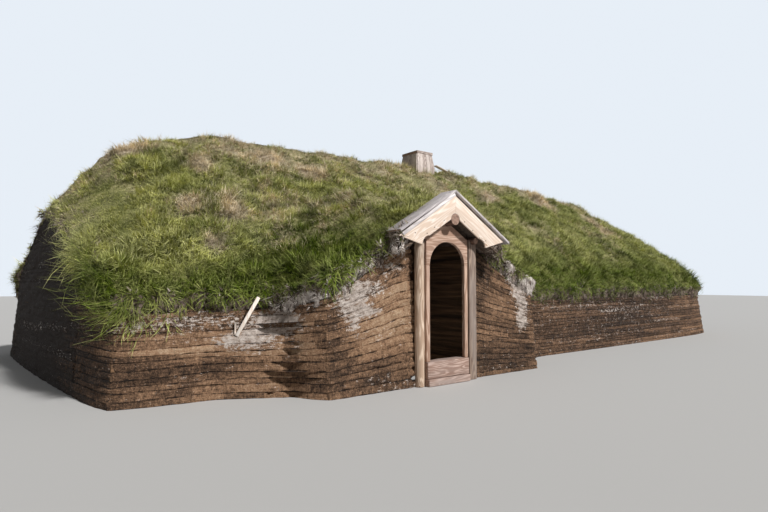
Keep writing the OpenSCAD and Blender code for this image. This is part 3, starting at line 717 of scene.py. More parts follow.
# The band of fresh green grass over the front eaves: height and reach for each effect, and higher over the
# porch. The green band darkens the grass towards the deep green colour, partly fresh growth and partly
# painted shade where the eaves turn down.
lushBand = {"fresh": (1.6, 0.6), "green": (1.45, 0.5), "greenPorch": (2.0, 0.5), "tall": (1.8, 0.55)}
porchSpan = (-5.6, -3.4)
dryTop = {"from": 3.2, "over": 1.4, "share": 0.20}
leftEnd = {"oliveFrom": -6.8, "oliveAbove": 1.5, "over": 0.3, "shortFrom": -7.4, "shortAbove": 1.8}


def inBand(place, effect):
    height, reach = lushBand[effect]
    return math.exp(-((place.z - height) / reach) ** 2)


def dryness(place):
    dry = 0.20 + 0.30 * ripple(place, 0.55) + 0.30 * ripple(place, 2.1)
    dry += dryTop["share"] * within((place.z - dryTop["from"]) / dryTop["over"])
    if place.y < 0:
        dry -= 0.55 * inBand(place, "fresh") + (0.12 if place.x > 0 else 0.0)
    for middleX, middleY, radius in barePatches:
        away = ((place.x - middleX) ** 2 + (place.y - middleY) ** 2) / radius ** 2
        dry += 1.15 * math.exp(-away)
    return within(dry)


def greenness(place):
    ripe = 0.70 + 0.55 * ripple(place, 0.9)
    if place.y < 0:
        overPorch = porchSpan[0] < place.x < porchSpan[1]
        # Partly painted shade: the green band makes the grass deep dark green where the eaves turn down
        ripe -= inBand(place, "greenPorch" if overPorch else "green") + (0.15 if place.x > 0 else 0.0)
    if place.x < leftEnd["oliveFrom"]:
        ripe += 0.55 * within((place.z - leftEnd["oliveAbove"]) / leftEnd["over"])
    return within(ripe)


# Places where the root mat is bleached: middle, reach, bleaching
matSpots = [((-5.3, -3.6), (1.0, 0.8), 0.75), ((-4.3, -4.1), (0.7, 0.6), 0.65),
            ((-1.5, -3.9), (0.6, 0.6), 0.9), ((-6.6, -3.1), (1.6, 0.5), 0.35)]


def bleaching(place):
    most = 0.06
    for middle, reach, bleach in matSpots:
        away = sum(((place[axis] - middle[axis]) / reach[axis]) ** 2 for axis in range(2))
        most = max(most, bleach * math.exp(-away))
    above = place.z - 1.25 - 0.56 * (place.x + 5.9) if place.x < -2 else place.z - 2.0
    return most * within(1.0 - above / 0.15) * within(0.9 + 1.6 * ripple(place, 2.3), 0.0, 1.4)


def barrenness(place):
    return within((bleaching(place) - 0.35) * 4.0) if place.y < -3.3 else 0.0


def growth(place):
    tall = 0.85 + 0.5 * ripple(place, 0.8) + 0.7 * ripple(place, 3.1)
    if place.y < 0:
        tall += 0.45 * inBand(place, "tall")
    if place.x < leftEnd["shortFrom"] and place.z > leftEnd["shortAbove"]:
        tall -= 0.3 if place.y < 0.4 else 0.55
    return within(tall, 0.3, 1.9)


everyNode = bmesh.new()
for entry in nodes.values():
    everyNode.from_mesh(entry.data)
everyTree = BVHTree.FromBMesh(everyNode)
everyNode.free()


def isOpen(face):
    start = face.calc_center_median() + face.normal * 0.003
    spot, facing, number, away = everyTree.ray_cast(start, face.normal)
    return spot is None or (facing.dot(face.normal) < 0 and away > 0.06)


def divideLong(shape, chosen, step):
    for turn in range(7):
        edges = {edge for face in shape.faces if chosen(face) for edge in face.edges}
        long = {edge for edge in edges if edge.calc_length() > step}
        if not long:
            break
        bmesh.ops.subdivide_edges(shape, edges=list(long), cuts=1)
        bmesh.ops.triangulate(shape, faces=[face for face in shape.faces if len(face.verts) > 3])


# The roof's upper left shoulder is worn down, less so near the ridge, and never through the turf
shoulder = {"from": -7.1, "over": 0.7, "low": 1.75, "rise": 0.5, "worn": 0.34, "left": 0.06}
# Long grass hangs over the front left corner
curtain = {"at": (-7.95, -2.3), "reach": (0.5, 1.0), "density": 260}


def wornAt(place, normal, rise):
    worn = min((shoulder["from"] - place.x) / shoulder["over"], 1.0)
    worn *= min((place.z - shoulder["low"]) / shoulder["rise"], 1.0)
    thickness = everyTree.ray_cast(place - normal * 0.01, -normal)[3] or 0.0
    worn *= 1.0 - 0.7 * within((place.z - 3.1) / 0.4)
    return rise * (1 - 0.6 * worn) - min(shoulder["worn"], thickness - shoulder["left"]) * worn


def makeSod(roof):
    shape = mergedCopy(roof["node"])
    shown = shape.faces.layers.int.new("shown")
    for face in shape.faces:
        face[shown] = (2 if face.normal.z < sod["sideTilt"] else 1) if isOpen(face) else 0

    def needsFine(face):
        if face[shown] == 1:
            return barrenness(face.calc_center_median()) > sod["bareFrom"]
        return face[shown] == 2

    divideLong(shape, lambda face: face[shown] == 1, sod["step"])
    divideLong(shape, needsFine, sod["edgeStep"])
    layers = {}
    for title in ("dry", "grow", "tall", "olive", "bleach", "fringe", "roots", "curtain"):
        layers[title] = shape.verts.layers.float.new(title)
    moves = {}
    for vert in shape.verts:
        outer = [face for face in vert.link_faces if face[shown]]
        if not outer:
            continue
        place = vert.co.copy()
        normal = sum((face.normal * face.calc_area() for face in outer), Vector()).normalized()
        sides = sum(1 for face in outer if face[shown] == 2)
        onlySides = sides == len(outer)
        bare = barrenness(place)
        if sides or bare > sod["bareFrom"]:
            ragged = Vector([place[axis] * sod["raggedScale"][axis] for axis in range(3)])
            rise = sod["ragged"] * (noise.fractal(ragged, 1.0, 2.0, 3) - 0.1)
        else:
            rise = sod["tussock"] * ripple(place, sod["tussockScale"], 2)
            rise += sod["lump"] * ripple(place, sod["lumpScale"], 2)
        if place.x < shoulder["from"] and place.z > shoulder["low"]:
            rise = wornAt(place, normal, rise)
        moves[vert] = normal * rise
        if any(face.normal.z < -0.4 for face in vert.link_faces) and sides:
            moves[vert] += Vector((0, 0, -sod["droop"] * max(0.0, 0.3 + ripple(place, 4.0))))
        near = sum(((place[axis] - curtain["at"][axis]) / curtain["reach"][axis]) ** 2 for axis in range(2))
        values = {"dry": dryness(place), "olive": greenness(place), "bleach": bleaching(place),
                  "tall": (1.1 if onlySides else growth(place)) * (1.0 - 0.4 * bare),
                  "grow": 0.0 if onlySides else 1.0 - bare,
                  "fringe": (0.0 if not sides else 0.12 if onlySides else 1.0) * (1.0 - bare),
                  "roots": 1.0 if onlySides else max(0.6 * bare, 0.35 if sides else 0.0),
                  "curtain": math.exp(-near) if sides else 0.0}
        for title, value in values.items():
            vert[layers[title]] = value
    for vert, move in moves.items():
        vert.co += move
    for face in shape.faces:
        barren = sum(vert[layers["grow"]] for vert in face.verts) < 1.2
        face.material_index = 1 if face[shown] == 2 or barren else 0
    return putPiece(roof["node"].replace("turf", "sod"), shape, [sodPaint, rootPaint])


sods = {}
for roof in roofs:
    piece = makeSod(roof)
    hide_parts(roof["node"])
    sods[roof["node"]] = piece
    print("sod made:", piece.name, len(piece.data.polygons), "faces")


# Grass: small tufts scattered over the sods and joined to one mesh for each
grass = {"bladeWidth": 0.0085, "bladeLength": 0.18, "spread": 0.055, "lawn": 330, "fringe": 460, "roots": 330,
         "sizes": (0.7, 1.3), "backSizes": (0.55, 0.95), "rootSizes": (0.6, 1.2)}


def addBlade(shape, riseLayer, root, turn, lean, length, width, segments):
    before = set(shape.verts)
    bmesh.ops.create_grid(shape, x_segments=1, y_segments=segments, size=1.0)
    made = [vert for vert in shape.verts if vert not in before]
    tip = [vert for vert in made if vert.co.y > 0.5]
    for vert in made:
        share = (vert.co.y + 1) / 2
        bend = lean * (0.55 + 0.75 * share)
        side = vert.co.x * width / 2 * (1.0 - 0.35 * share)
        reach = length * share * math.sin(bend)
        rise = length * share * math.cos(bend)
        vert.co = root + Vector((reach * math.cos(turn) - side * math.sin(turn),
                                 reach * math.sin(turn) + side * math.cos(turn), rise))
        vert[riseLayer] = share
    bmesh.ops.pointmerge(shape, verts=tip, merge_co=(tip[0].co + tip[1].co) / 2)


def makeTuft(name, blades, segments, leanRange, lengthRange, widthShare, downhill, draw):
    shape = bmesh.new()
    riseLayer = shape.verts.layers.float.new("rise")
    for number in range(blades):
        turn = draw.gauss(0, 1.1) if draw.random() < downhill else draw.uniform(-math.pi, math.pi)
        root = Vector((draw.gauss(0, grass["spread"] / 2), draw.gauss(0, grass["spread"] / 2), -0.01))
        lean = math.radians(draw.uniform(*leanRange))
        length = grass["bladeLength"] * draw.uniform(*lengthRange)
        addBlade(shape, riseLayer, root, turn, lean, length, grass["bladeWidth"] * widthShare, segments)
    return putObject(name, keepMesh(name, shape))


def firstOf(sockets, name=None):
    return next(entry for entry in sockets if entry.enabled and name in (None, entry.name))


def growTufts(name, ground, field, density, kinds, pose, sizes, paint, seed):
    tree = bpy.data.node_groups.new(name, "GeometryNodeTree")
    for title, side in (("Ground", "INPUT"), ("Grass", "OUTPUT")):
        tree.interface.new_socket(title, in_out=side, socket_type="NodeSocketGeometry")

    # Each input is a value, or a socket or a node to link
    def add(kind, inputs, **settings):
        node = tree.nodes.new(kind)
        for key, value in settings.items():
            setattr(node, key, value)
        for title, value in inputs.items():
            socket = node.inputs[title] if isinstance(title, int) else firstOf(node.inputs, title)
            if isinstance(value, bpy.types.Node):
                value = firstOf(value.outputs)
            if isinstance(value, bpy.types.NodeSocket):
                tree.links.new(value, socket)
            else:
                socket.default_value = value
        return node

    def attribute(title):
        return add("GeometryNodeInputNamedAttribute", {"Name": title}, data_type="FLOAT")

    def chance(low, high, number, kind="FLOAT"):
        inputs = {"Min": low, "Max": high, "Seed": seed * 10 + number}
        return add("FunctionNodeRandomValue", inputs, data_type=kind)

    def scaled(first, second):
        return add("ShaderNodeMath", {0: first, 1: second}, operation="MULTIPLY")

    def vector(operation, first, second):
        return add("ShaderNodeVectorMath", {0: first, 1: second}, operation=operation)

    scatter = add("GeometryNodeDistributePointsOnFaces", {
        "Mesh": add("NodeGroupInput", {}), "Density": scaled(attribute(field), density), "Seed": seed},
        distribute_method="RANDOM")
    normal = scatter.outputs["Normal"]
    downhill = vector("ADD", vector("MULTIPLY", normal, (1.0, 1.0, 0.0)), (0.0, 0.0, pose["fall"]))
    upright = vector("ADD", vector("MULTIPLY", normal, (pose["out"],) * 3), (0.0, 0.0, pose["up"]))
    along = add("FunctionNodeAlignRotationToVector", {"Vector": downhill}, axis="X")
    stand = add("FunctionNodeAlignRotationToVector", {"Rotation": along, "Vector": upright},
                axis="Z", pivot_axis="AUTO")
    angle = chance(-pose["turn"], pose["turn"], 1)
    spin = add("FunctionNodeAxisAngleToRotation", {"Axis": (0, 0, 1), "Angle": angle})
    turned = add("FunctionNodeRotateRotation", {"Rotation": stand, "Rotate By": spin}, rotation_space="LOCAL")
    gather = add("GeometryNodeJoinGeometry", {})
    for tuft in reversed(kinds):
        info = add("GeometryNodeObjectInfo", {"Object": tuft, "As Instance": True})
        tree.links.new(info.outputs["Geometry"], gather.inputs[0])
    plant = add("GeometryNodeInstanceOnPoints", {
        "Points": scatter, "Instance": gather, "Pick Instance": True, "Rotation": turned,
        "Instance Index": chance(0, len(kinds) - 1, 2, "INT"),
        "Scale": scaled(attribute("tall"), chance(*sizes, 3))})
    toned = add("GeometryNodeStoreNamedAttribute", {
        "Geometry": plant, "Name": "tone", "Value": chance(0.0, 1.0, 4)},
        data_type="FLOAT", domain="INSTANCE")
    add("NodeGroupOutput", {"Grass": add("GeometryNodeRealizeInstances", {"Geometry": toned})})

    grown = putObject(name + "_source", ground.data)
    modifier = grown.modifiers.new("grow", "NODES")
    modifier.node_group = tree
    ready = grown.evaluated_get(bpy.context.evaluated_depsgraph_get())
    mesh = bpy.data.meshes.new_from_object(ready)
    bpy.data.objects.remove(grown)
    bpy.data.node_groups.remove(tree)
    mesh.name = name
    mesh.materials.clear()
    mesh.materials.append(paint)
    piece = putObject(name, mesh)
    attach(piece, "root")
    print("grown:", name, len(mesh.polygons), "faces")


# Each tuft: blades, segments of a blade, lean in degrees, lengths, width, share that leans downhill
tuftKinds = {
    "green": [("longTuft", 6, 2, (10, 55), (0.7, 1.3), 0.9, 0.6),
              ("wideTuft", 13, 1, (25, 75), (0.5, 1.1), 1.1, 0.5),
              ("shortTuft", 13, 1, (15, 65), (0.35, 0.8), 1.1, 0.4)],
    "hanging": [("hangTuft", 9, 2, (35, 80), (0.5, 1.1), 0.9, 0.9),
                ("bentTuft", 9, 2, (45, 90), (0.4, 0.9), 0.9, 0.9)],
    "curtain": [("curtainTuft", 9, 3, (60, 80), (1.2, 2.6), 0.9, 0.95),
                ("looseTuft", 8, 3, (50, 85), (1.0, 2.0), 0.9, 0.8)],
    "root": [("rootTuft", 9, 1, (55, 100), (0.4, 1.1), 1.2, 0.85),
             ("tangleTuft", 9, 1, (60, 120), (0.15, 0.5), 2.4, 0.2)],
}
tuftDraw = random.Random(7)
tufts = {kind: [makeTuft(*row, tuftDraw) for row in rows] for kind, rows in tuftKinds.items()}
lawnPose = {"fall": -0.15, "out": 0.5, "up": 0.5, "turn": 0.8}
hangPose = {"fall": -1.0, "out": 1.0, "up": -0.25, "turn": 0.5}
for number, roof in enumerate(roofs):
    sizes = grass["backSizes"] if roof["node"].startswith("back") else grass["sizes"]
    for title, field, density, kind, pose, scales, paint, seed in (
            ("grass", "grow", grass["lawn"] * roof["density"], "green", lawnPose, sizes, grassPaint, 11),
            ("fringe", "fringe", grass["fringe"] * roof["fringe"], "hanging", hangPose, sizes,
             grassPaint, 31),
            ("roots", "roots", grass["roots"] * roof["roots"], "root", hangPose, grass["rootSizes"],
             rootBladePaint, 51)):
        growTufts(roof["node"].replace("turf", title), sods[roof["node"]], field, density, tufts[kind], pose,
                  scales, paint, seed + number)
growTufts("corner_curtain", sods["left_end_turf"], "curtain", curtain["density"], tufts["curtain"], hangPose,
          grass["sizes"], grassPaint, 71)
for tuft in sum(tufts.values(), []):
    bpy.data.objects.remove(tuft)


# Timber: one finish for each kind of wood, with the grain turned along each board or log
def makeGrainGroup():
    group = bpy.data.node_groups.new("woodGrain", "ShaderNodeTree")
    group.interface.new_socket("Along", in_out="INPUT", socket_type="NodeSocketVector")
    for title in ("Figure", "Knot", "Weather"):
        group.interface.new_socket(title, in_out="OUTPUT", socket_type="NodeSocketFloat")
    start = group.nodes.new("NodeGroupInput")
    end = group.nodes.new("NodeGroupOutput")

    def stretched(scale):
        node = group.nodes.new("ShaderNodeVectorMath")
        node.operation = "MULTIPLY"
        node.inputs[1].default_value = scale
        group.links.new(start.outputs["Along"], node.inputs[0])
        return node.outputs["Vector"]

    cells = group.nodes.new("ShaderNodeTexVoronoi")
    cells.inputs["Scale"].default_value = 3.1
    cells.inputs["Randomness"].default_value = 1.0
    group.links.new(stretched((0.45, 1.6, 1.6)), cells.inputs["Vector"])
    near = addMath(group, "MAXIMUM", addMath(group, "SUBTRACT", 0.30, cells.outputs["Distance"]), 0.0)
    knot = addMath(group, "GREATER_THAN", near, 0.245)
    rings = addNoise(group, stretched((0.09, 1.0, 1.0)), 5.5, 2.0, 0.5, 0.3)
    bent = addMath(group, "ADD", rings, addMath(group, "MULTIPLY", near, 0.55))
    wave = addMath(group, "SINE", addMath(group, "MULTIPLY", bent, 85.0))
    fibre = addNoise(group, stretched((0.04, 1.0, 1.0)), 150.0, 3.0, 0.6)
    figure = addMath(group, "ADD", addMath(group, "MULTIPLY", wave, 0.22), fibre)
    weather = addNoise(group, stretched((0.22, 1.0, 1.0)), 3.5, 6.0, 0.65)
    for socket, title in ((figure, "Figure"), (knot, "Knot"), (weather, "Weather")):
        group.links.new(socket, end.inputs[title])
    return group


woodFinishes = {
    "newBoard": {"colors": ((0.74, 0.58, 0.46), (0.92, 0.80, 0.70), (0.97, 0.91, 0.84)), "rough": 0.6,
                 "knot": (0.44, 0.25, 0.14), "weather": (0.70, 0.58, 0.48), "share": 0.25, "bump": 0.15},
    "greyBoard": {"colors": ((0.46, 0.42, 0.42), (0.77, 0.71, 0.69), (0.90, 0.84, 0.81)), "rough": 0.85,
                  "knot": (0.20, 0.17, 0.16), "weather": (0.38, 0.33, 0.33), "share": 0.6, "bump": 0.5},
    "frameTimber": {"colors": ((0.36, 0.22, 0.155), (0.62, 0.44, 0.335), (0.76, 0.58, 0.47)), "rough": 0.7,
                    "knot": (0.22, 0.11, 0.06), "weather": (0.40, 0.27, 0.21), "share": 0.5, "bump": 0.25},
    "paleLog": {"colors": ((0.44, 0.31, 0.22), (0.70, 0.55, 0.42), (0.83, 0.71, 0.58)), "rough": 0.7,
                "knot": (0.25, 0.14, 0.08), "weather": (0.36, 0.29, 0.24), "share": 0.7, "bump": 0.3},
    "greyPost": {"colors": ((0.18, 0.12, 0.09), (0.38, 0.28, 0.21), (0.54, 0.43, 0.34)), "rough": 0.85,
                 "knot": (0.14, 0.09, 0.06), "weather": (0.30, 0.25, 0.22), "share": 0.7, "bump": 0.5},
    "wornBeam": {"colors": ((0.28, 0.18, 0.14), (0.50, 0.36, 0.30), (0.64, 0.50, 0.43)), "rough": 0.9,
                 "knot": (0.22, 0.14, 0.10), "weather": (0.36, 0.29, 0.26), "share": 0.7, "bump": 0.5},
    "darkLog": {"colors": ((0.09, 0.05, 0.035), (0.20, 0.12, 0.085), (0.30, 0.20, 0.15)), "rough": 0.8,
                "knot": (0.06, 0.035, 0.02), "weather": (0.12, 0.09, 0.08), "share": 0.6, "bump": 0.5},
    # Painted shade: the boards under the hood and the porch roof are painted near-black, standing for the
    # shade beneath them
    "shadedHoodBoard": {"colors": ((0.05, 0.035, 0.025), (0.13, 0.09, 0.065), (0.20, 0.15, 0.11)), "rough": 0.9,
                  "knot": (0.04, 0.03, 0.02), "weather": (0.09, 0.08, 0.07), "share": 0.6, "bump": 0.4},
    "innerTimber": {"colors": ((0.20, 0.12, 0.07), (0.38, 0.26, 0.16), (0.52, 0.38, 0.25)), "rough": 0.8,
                    "knot": (0.16, 0.09, 0.05), "weather": (0.26, 0.19, 0.14), "share": 0.5, "bump": 0.4},
    "ventPlank": {"colors": ((0.34, 0.27, 0.24), (0.60, 0.51, 0.46), (0.76, 0.67, 0.62)), "rough": 0.9,
                  "knot": (0.22, 0.16, 0.14), "weather": (0.44, 0.37, 0.34), "share": 0.7, "bump": 0.6},
}
capLow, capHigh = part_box("cap_board_left")
hoodSlope = math.atan2(capHigh[2] - capLow[2], capHigh[0] - capLow[0])
grainTurns = {"across": (0, 0, 0), "inward": (0, 0, math.pi / 2), "upright": (0, -math.pi / 2, 0),
              "risingRight": (0, -hoodSlope, 0), "fallingRight": (0, hoodSlope, 0)}
grainGroup = makeGrainGroup()
woodPaints = {}


def woodPaint(finish, run):
    name = finish + run[0].upper() + run[1:]
    if name in woodPaints:
        return woodPaints[name]
    look = woodFinishes[finish]
    paint, tree = newPaint(name, look["rough"])
    grain = tree.nodes.new("ShaderNodeGroup")
    grain.node_tree = grainGroup
    tree.links.new(addMapping(tree, plain, grainTurns[run]), grain.inputs["Along"])
    tone = addMath(tree, "MULTIPLY", addMath(tree, "SUBTRACT", addAttribute(tree, "tone"), 0.5), 0.5)
    figure = addMath(tree, "ADD", grain.outputs["Figure"], tone)
    dark, middle, light = look["colors"]
    color = addRamp(tree, figure, [(0.22, dark), (0.50, middle), (0.80, light)])
    worn = addRamp(tree, grain.outputs["Weather"], [(0.45, (0, 0, 0)), (0.68, (look["share"],) * 3)])
    color = addMix(tree, worn, color, look["weather"])
    color = addMix(tree, grain.outputs["Knot"], color, look["knot"])
    woodPaints[name] = closePaint(paint, color, grain.outputs["Figure"], look["bump"])
    return paint


def makeEndPaint():
    paint, tree = newPaint("endGrain", 0.9)
    rough = addNoise(tree, plain, 38.0, 5.0, 0.65)
    color = addRamp(tree, rough, [(0.3, (0.14, 0.09, 0.065)), (0.55, (0.34, 0.22, 0.165)),
                                  (0.8, (0.46, 0.33, 0.26))])
    return closePaint(paint, color, rough, 0.5)


endPaint = makeEndPaint()

# Each timber: its node, finish, run of the grain, rounding of its edges, how wavy or how much shorter it is
timbers = [
    {"node": "barge_board_left", "finish": "newBoard", "run": "risingRight", "edge": 0.004},
    {"node": "barge_board_right", "finish": "newBoard", "run": "fallingRight", "edge": 0.004},
    {"node": "cap_board_left", "finish": "greyBoard", "run": "risingRight", "edge": 0.006, "trim": 0.17},
    {"node": "cap_board_right", "finish": "greyBoard", "run": "fallingRight", "edge": 0.006},
    {"node": "gable_board", "finish": "frameTimber", "run": "across", "edge": 0.003},
    {"node": "arched_head", "finish": "frameTimber", "run": "across", "edge": 0.004},
    {"node": "door_jamb_left", "finish": "frameTimber", "run": "upright", "edge": 0.006},
    {"node": "door_jamb_right", "finish": "frameTimber", "run": "upright", "edge": 0.006},
    {"node": "door_post_right", "finish": "greyPost", "run": "upright", "edge": 0.010},
    {"node": "threshold", "finish": "wornBeam", "run": "across", "edge": 0.014, "wave": 0.006},
    {"node": "step_block", "finish": "wornBeam", "run": "across", "edge": 0.014, "wave": 0.006},
    {"node": "door_post_left", "finish": "paleLog", "run": "upright", "edge": 0.006, "wave": 0.007},
    {"node": "porch_ridge_pole", "finish": "darkLog", "run": "inward", "edge": 0.006, "wave": 0.006},
    {"node": "porch_plate_left", "finish": "darkLog", "run": "inward", "edge": 0.005, "wave": 0.005},
    {"node": "porch_plate_right", "finish": "darkLog", "run": "inward", "edge": 0.005, "wave": 0.005},
    {"node": "vent_rim", "finish": "ventPlank", "run": "across", "edge": 0.004},
]
runAxes = {"across": Vector((1, 0, 0)), "inward": Vector((0, 1, 0)), "upright": Vector((0, 0, 1)),
           "risingRight": Vector((math.cos(hoodSlope), 0, math.sin(hoodSlope))),
           "fallingRight": Vector((math.cos(hoodSlope), 0, -math.sin(hoodSlope)))}
# A wavy piece is cut about every waveStep metres, and a face that looks along the run is end grain
waveStep, endFacing = 0.12, 0.93


def makeTimber(timber):
    shape = mergedCopy(timber["node"])
    bmesh.ops.dissolve_limit(shape, angle_limit=0.01, verts=shape.verts, edges=shape.edges)
    axis = runAxes[timber["run"]]
    if "trim" in timber:
        start = min(vert.co.dot(axis) for vert in shape.verts) + timber["trim"]
        bmesh.ops.holes_fill(shape, edges=cutThrough(shape, axis * start, axis, clear_inner=True))
    roundEdges(shape, sharpEdges(shape), timber["edge"], 2)
    if "wave" in timber:
        reach = sorted(vert.co.dot(axis) for vert in shape.verts)
        count = max(2, int((reach[-1] - reach[0]) / waveStep))
        for index in range(1, count):
            cutThrough(shape, axis * (reach[0] + (reach[-1] - reach[0]) * index / count), axis)
        for vert in shape.verts:
            vert.co += vert.normal * timber["wave"] * (ripple(vert.co, 5.0) - 0.25)
    for face in shape.faces:
        face.material_index = 1 if abs(face.normal.dot(axis)) > endFacing else 0
    paints = [woodPaint(timber["finish"], timber["run"]), endPaint]
    piece = putPiece(timber["node"] + "_wood", shape, paints)
    piece.data.set_sharp_from_angle(angle=math.radians(40))
    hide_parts(timber["node"])


for timber in timbers:
    makeTimber(timber)
print("porch timber finished:", len(timbers), "pieces")


# Boarded roofs: each slab is cut into boards with open joints
boardings = [
    {"node": "roof_boards_front", "axis": 0, "width": 0.17, "finish": "innerTimber", "run": "inward"},
    {"node": "roof_boards_back", "axis": 0, "width": 0.17, "finish": "innerTimber", "run": "inward"},
    {"node": "porch_roof_boards", "axis": 1, "width": 0.15, "finish": "shadedHoodBoard", "run": "across"},
    {"node": "hood_roof_boards", "axis": 1, "width": 0.12, "finish": "shadedHoodBoard", "run": "across"},
]
boardJoint, leastBoard = 0.004, 0.05


def layBoards(boarding, draw):
    low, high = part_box(boarding["node"])
    axis = boarding["axis"]
    direction = Vector([1.0 if number == axis else 0.0 for number in range(3)])
    whole = mergedCopy(boarding["node"])
    shape = bmesh.new()
    toneLayer = shape.verts.layers.float.new("tone")
    start = low[axis]
    while start < high[axis] - 0.01:
        width = boarding["width"] * draw.uniform(0.8, 1.2)
        end = high[axis] if high[axis] - start - width < leastBoard else start + width
        board = whole.copy()
        for cut, side in ((start + boardJoint / 2, -1), (end - boardJoint / 2, 1)):
            rim = cutThrough(board, direction * cut, direction * side, clear_outer=True)
            if rim:
                bmesh.ops.holes_fill(board, edges=rim, sides=0)
        mesh = keepMesh("board", board)
        tone = draw.random()
        for vert in addMesh(shape, mesh):
            vert[toneLayer] = tone
        bpy.data.meshes.remove(mesh)
        start = end
    whole.free()
    bmesh.ops.recalc_face_normals(shape, faces=shape.faces)
    piece = putPiece(boarding["node"] + "_laid", shape, [woodPaint(boarding["finish"], boarding["run"])],
                     smooth=False)
    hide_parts(boarding["node"])
    return piece


for number, boarding in enumerate(boardings):
    piece = layBoards(boarding, random.Random(70 + number))
    print("boards laid:", piece.name, len(piece.data.polygons), "faces")


# Timber that only shows from inside keeps its solid and gets a finish
for nodeName, finish, run in (
        ("ridge_beam", "innerTimber", "across"), ("side_beam_front", "innerTimber", "across"),
        ("side_beam_back", "innerTimber", "across"), ("hall_posts_front", "innerTimber", "upright"),
        ("hall_posts_back", "innerTimber", "upright"), ("cross_beams", "innerTimber", "inward"),
        ("king_posts", "innerTimber", "upright"), ("vent_box", "ventPlank", "upright")):
    setFinish(nodeName, woodPaint(finish, run))

# Smoke vent: upright planks over the solid shaft, which narrows from the roof turf's top
vent = {"narrowest": 0.085, "widest": 0.135, "thin": 0.010, "thick": 0.020, "joint": 0.005, "sunk": 0.35,
        "least": 0.05, "uneven": 0.012, "inner": 0.01, "bend": 0.004, "edge": 0.004}


def makePlankTemplate():
    plank = bmesh.new()
    bmesh.ops.create_cube(plank, size=1.0)
    upright = [edge for edge in plank.edges if abs(edge.verts[0].co.z - edge.verts[1].co.z) > 0.5]
    bmesh.ops.subdivide_edges(plank, edges=upright, cuts=3)
    return keepMesh("plank", plank)


def makeVentPlanks(draw):
    low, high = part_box("vent_box")
    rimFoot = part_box("vent_rim")[0][2]
    middle = Vector(((low[0] + high[0]) / 2, (low[1] + high[1]) / 2, 0))
    foot = [(high[0] - low[0]) / 2, (high[1] - low[1]) / 2]
    crown = max(vert.co.x for vert in nodes["vent_box"].data.vertices if vert.co.z > high[2] - 0.001)
    taper = high[0] - crown
    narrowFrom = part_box("back_turf_left")[1][2]
    template = makePlankTemplate()
    shape = bmesh.new()
    toneLayer = shape.verts.layers.float.new("tone")
    for side in range(4):
        angle = side * math.pi / 2
        outward = Vector((math.sin(angle), -math.cos(angle), 0))
        along = Vector((math.cos(angle), math.sin(angle), 0))
        half, deep = (foot[0], foot[1]) if side % 2 == 0 else (foot[1], foot[0])
        start = -half
        while start < half - 0.005:
            width = draw.uniform(vent["narrowest"], vent["widest"])
            end = half if half - start - width < vent["least"] else start + width
            bottom, top = narrowFrom - vent["sunk"], rimFoot - draw.uniform(0.0, vent["uneven"])
            proud, tone = draw.uniform(vent["thin"], vent["thick"]), draw.random()
            for vert in addMesh(shape, template):
                height = bottom + (vert.co.z + 0.5) * (top - bottom)
                narrow = taper * max(0.0, (height - narrowFrom) / (high[2] - narrowFrom))
                spot = (start + vent["joint"] / 2 + (vert.co.x + 0.5) * (end - start - vent["joint"]))
                across = spot * (half - narrow) / half
                out = deep - narrow + (proud if vert.co.y < 0 else -vent["inner"])
                out += vent["bend"] * ripple((spot, height, side), 9.0)
                vert.co = middle + along * across + outward * out + Vector((0, 0, height))
                vert[toneLayer] = tone
            start = end
    bmesh.ops.recalc_face_normals(shape, faces=shape.faces)
    roundEdges(shape, sharpEdges(shape), vent["edge"])
    bpy.data.meshes.remove(template)
    putPiece("vent_planks", shape, [woodPaint("ventPlank", "upright")], smooth=False)


makeVentPlanks(random.Random(90))


# Loose wood: the board at the foot of the vent, the pale stick with its stub that leans on the wall, and the
# lath under the left cap board. Each beam: from, to, width, thickness.
lath = {"lift": 0.026, "inset": 0.014, "top": 2.915, "from": 0.02, "to": 1.24}
hoodRun = runAxes["risingRight"]
lathTop = (Vector((capHigh[0] - 0.01, capLow[1] + lath["inset"], lath["top"]))
           + Vector((math.sin(hoodSlope), 0, -math.cos(hoodSlope))) * lath["lift"])
looseWood = [
    {"piece": "vent_foot_board", "beams": [((0.30, 0.22, 4.63), (0.74, 0.26, 4.53), 0.11, 0.022)],
     "tone": 0.8, "edge": 0.004, "finish": "ventPlank", "run": "across", "slot": "vent_planks"},
    {"piece": "leaning_stick", "beams": [((-6.42, -3.12, 0.82), (-6.16, -3.24, 1.34), 0.06, 0.05),
                                         ((-6.43, -3.10, 0.84), (-6.44, -3.12, 1.0), 0.02, 0.015)],
     "tone": 0.7, "edge": 0.005, "finish": "newBoard", "run": "upright", "slot": "weathered_timber"},
    {"piece": "cap_front_lath",
     "beams": [(lathTop - hoodRun * lath["to"], lathTop - hoodRun * lath["from"], 0.022, 0.05)],
     "tone": 0.6, "edge": 0.003, "finish": "greyBoard", "run": "risingRight", "slot": "grey_board"},
]


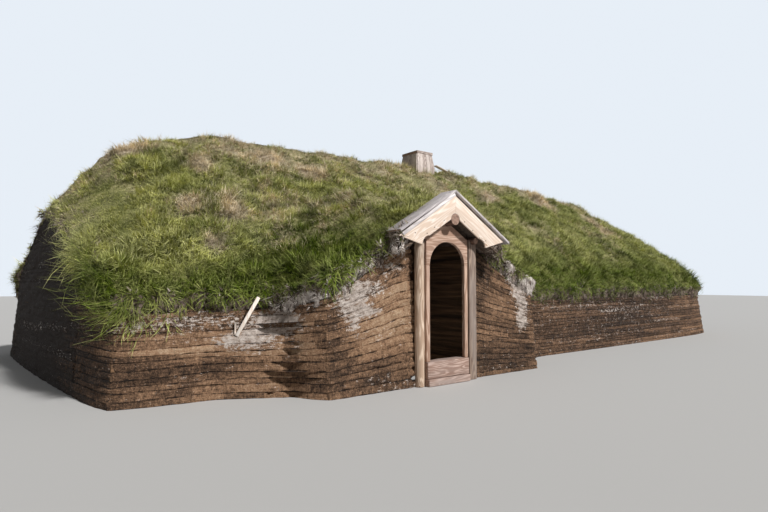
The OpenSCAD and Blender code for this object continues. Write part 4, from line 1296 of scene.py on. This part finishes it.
def makeBeams(loose):
    shape = bmesh.new()
    toneLayer = shape.verts.layers.float.new("tone")
    for start, end, width, thick in loose["beams"]:
        start, end = Vector(start), Vector(end)
        run = end - start
        turn = run.to_track_quat("X", "Z").to_matrix()
        before = set(shape.verts)
        bmesh.ops.create_cube(shape, size=1.0)
        for vert in [vert for vert in shape.verts if vert not in before]:
            spot = Vector((vert.co.x * run.length, vert.co.y * width, vert.co.z * thick))
            vert.co = (start + end) / 2 + turn @ spot
            vert[toneLayer] = loose["tone"]
    roundEdges(shape, shape.edges[:], loose["edge"])
    putPiece(loose["piece"], shape, [woodPaint(loose["finish"], loose["run"])])


for loose in looseWood:
    makeBeams(loose)

# Nails: heads in the barge boards and in the left cap board, seen from the door's middle line
nails = {"radius": 0.009, "proud": 0.004, "inset": 0.06,
         "hood": ((-0.239, 2.467), (-0.429, 2.353), (-0.579, 2.256), (-0.804, 2.252),
                  (0.19, 2.475), (0.37, 2.351), (0.525, 2.243), (0.667, 2.205)),
         "cap": (-0.875, -0.664, -0.377, -0.069)}


def makeNails():
    paint, tree = newPaint("rustyIron", 0.7)
    rust = addNoise(tree, plain, 160.0, 3.0, 0.6)
    closePaint(paint, addRamp(tree, rust, [(0.3, (0.03, 0.02, 0.015)), (0.7, (0.12, 0.06, 0.035))]))
    tree.nodes["Principled BSDF"].inputs["Metallic"].default_value = 0.3
    low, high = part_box("barge_board_left")
    doorX, boardY = high[0], low[1]
    inHood = Matrix.Rotation(math.pi / 2, 4, "X")
    onCap = Matrix.Rotation(-hoodSlope, 4, "Y")
    heads = [((doorX + side, boardY, height), inHood) for side, height in nails["hood"]]
    for side in nails["cap"]:
        height = capHigh[2] + side * math.tan(hoodSlope) - nails["proud"] * 0.2
        heads.append(((doorX + side, capLow[1] + nails["inset"], height), onCap))
    shape = bmesh.new()
    for place, turn in heads:
        bmesh.ops.create_cone(shape, cap_ends=True, segments=10, radius1=nails["radius"],
                              radius2=nails["radius"] * 0.8, depth=nails["proud"] * 2,
                              matrix=Matrix.Translation(place) @ turn)
    putPiece("nail_heads", shape, [paint])


makeNails()
print("vent planks, loose wood and nails are in place")

added = sum(sum(len(face.vertices) - 2 for face in entry.data.polygons) for entry in scene.objects
            if entry.type == "MESH" and entry.name not in nodes)
print("triangles added:", added)
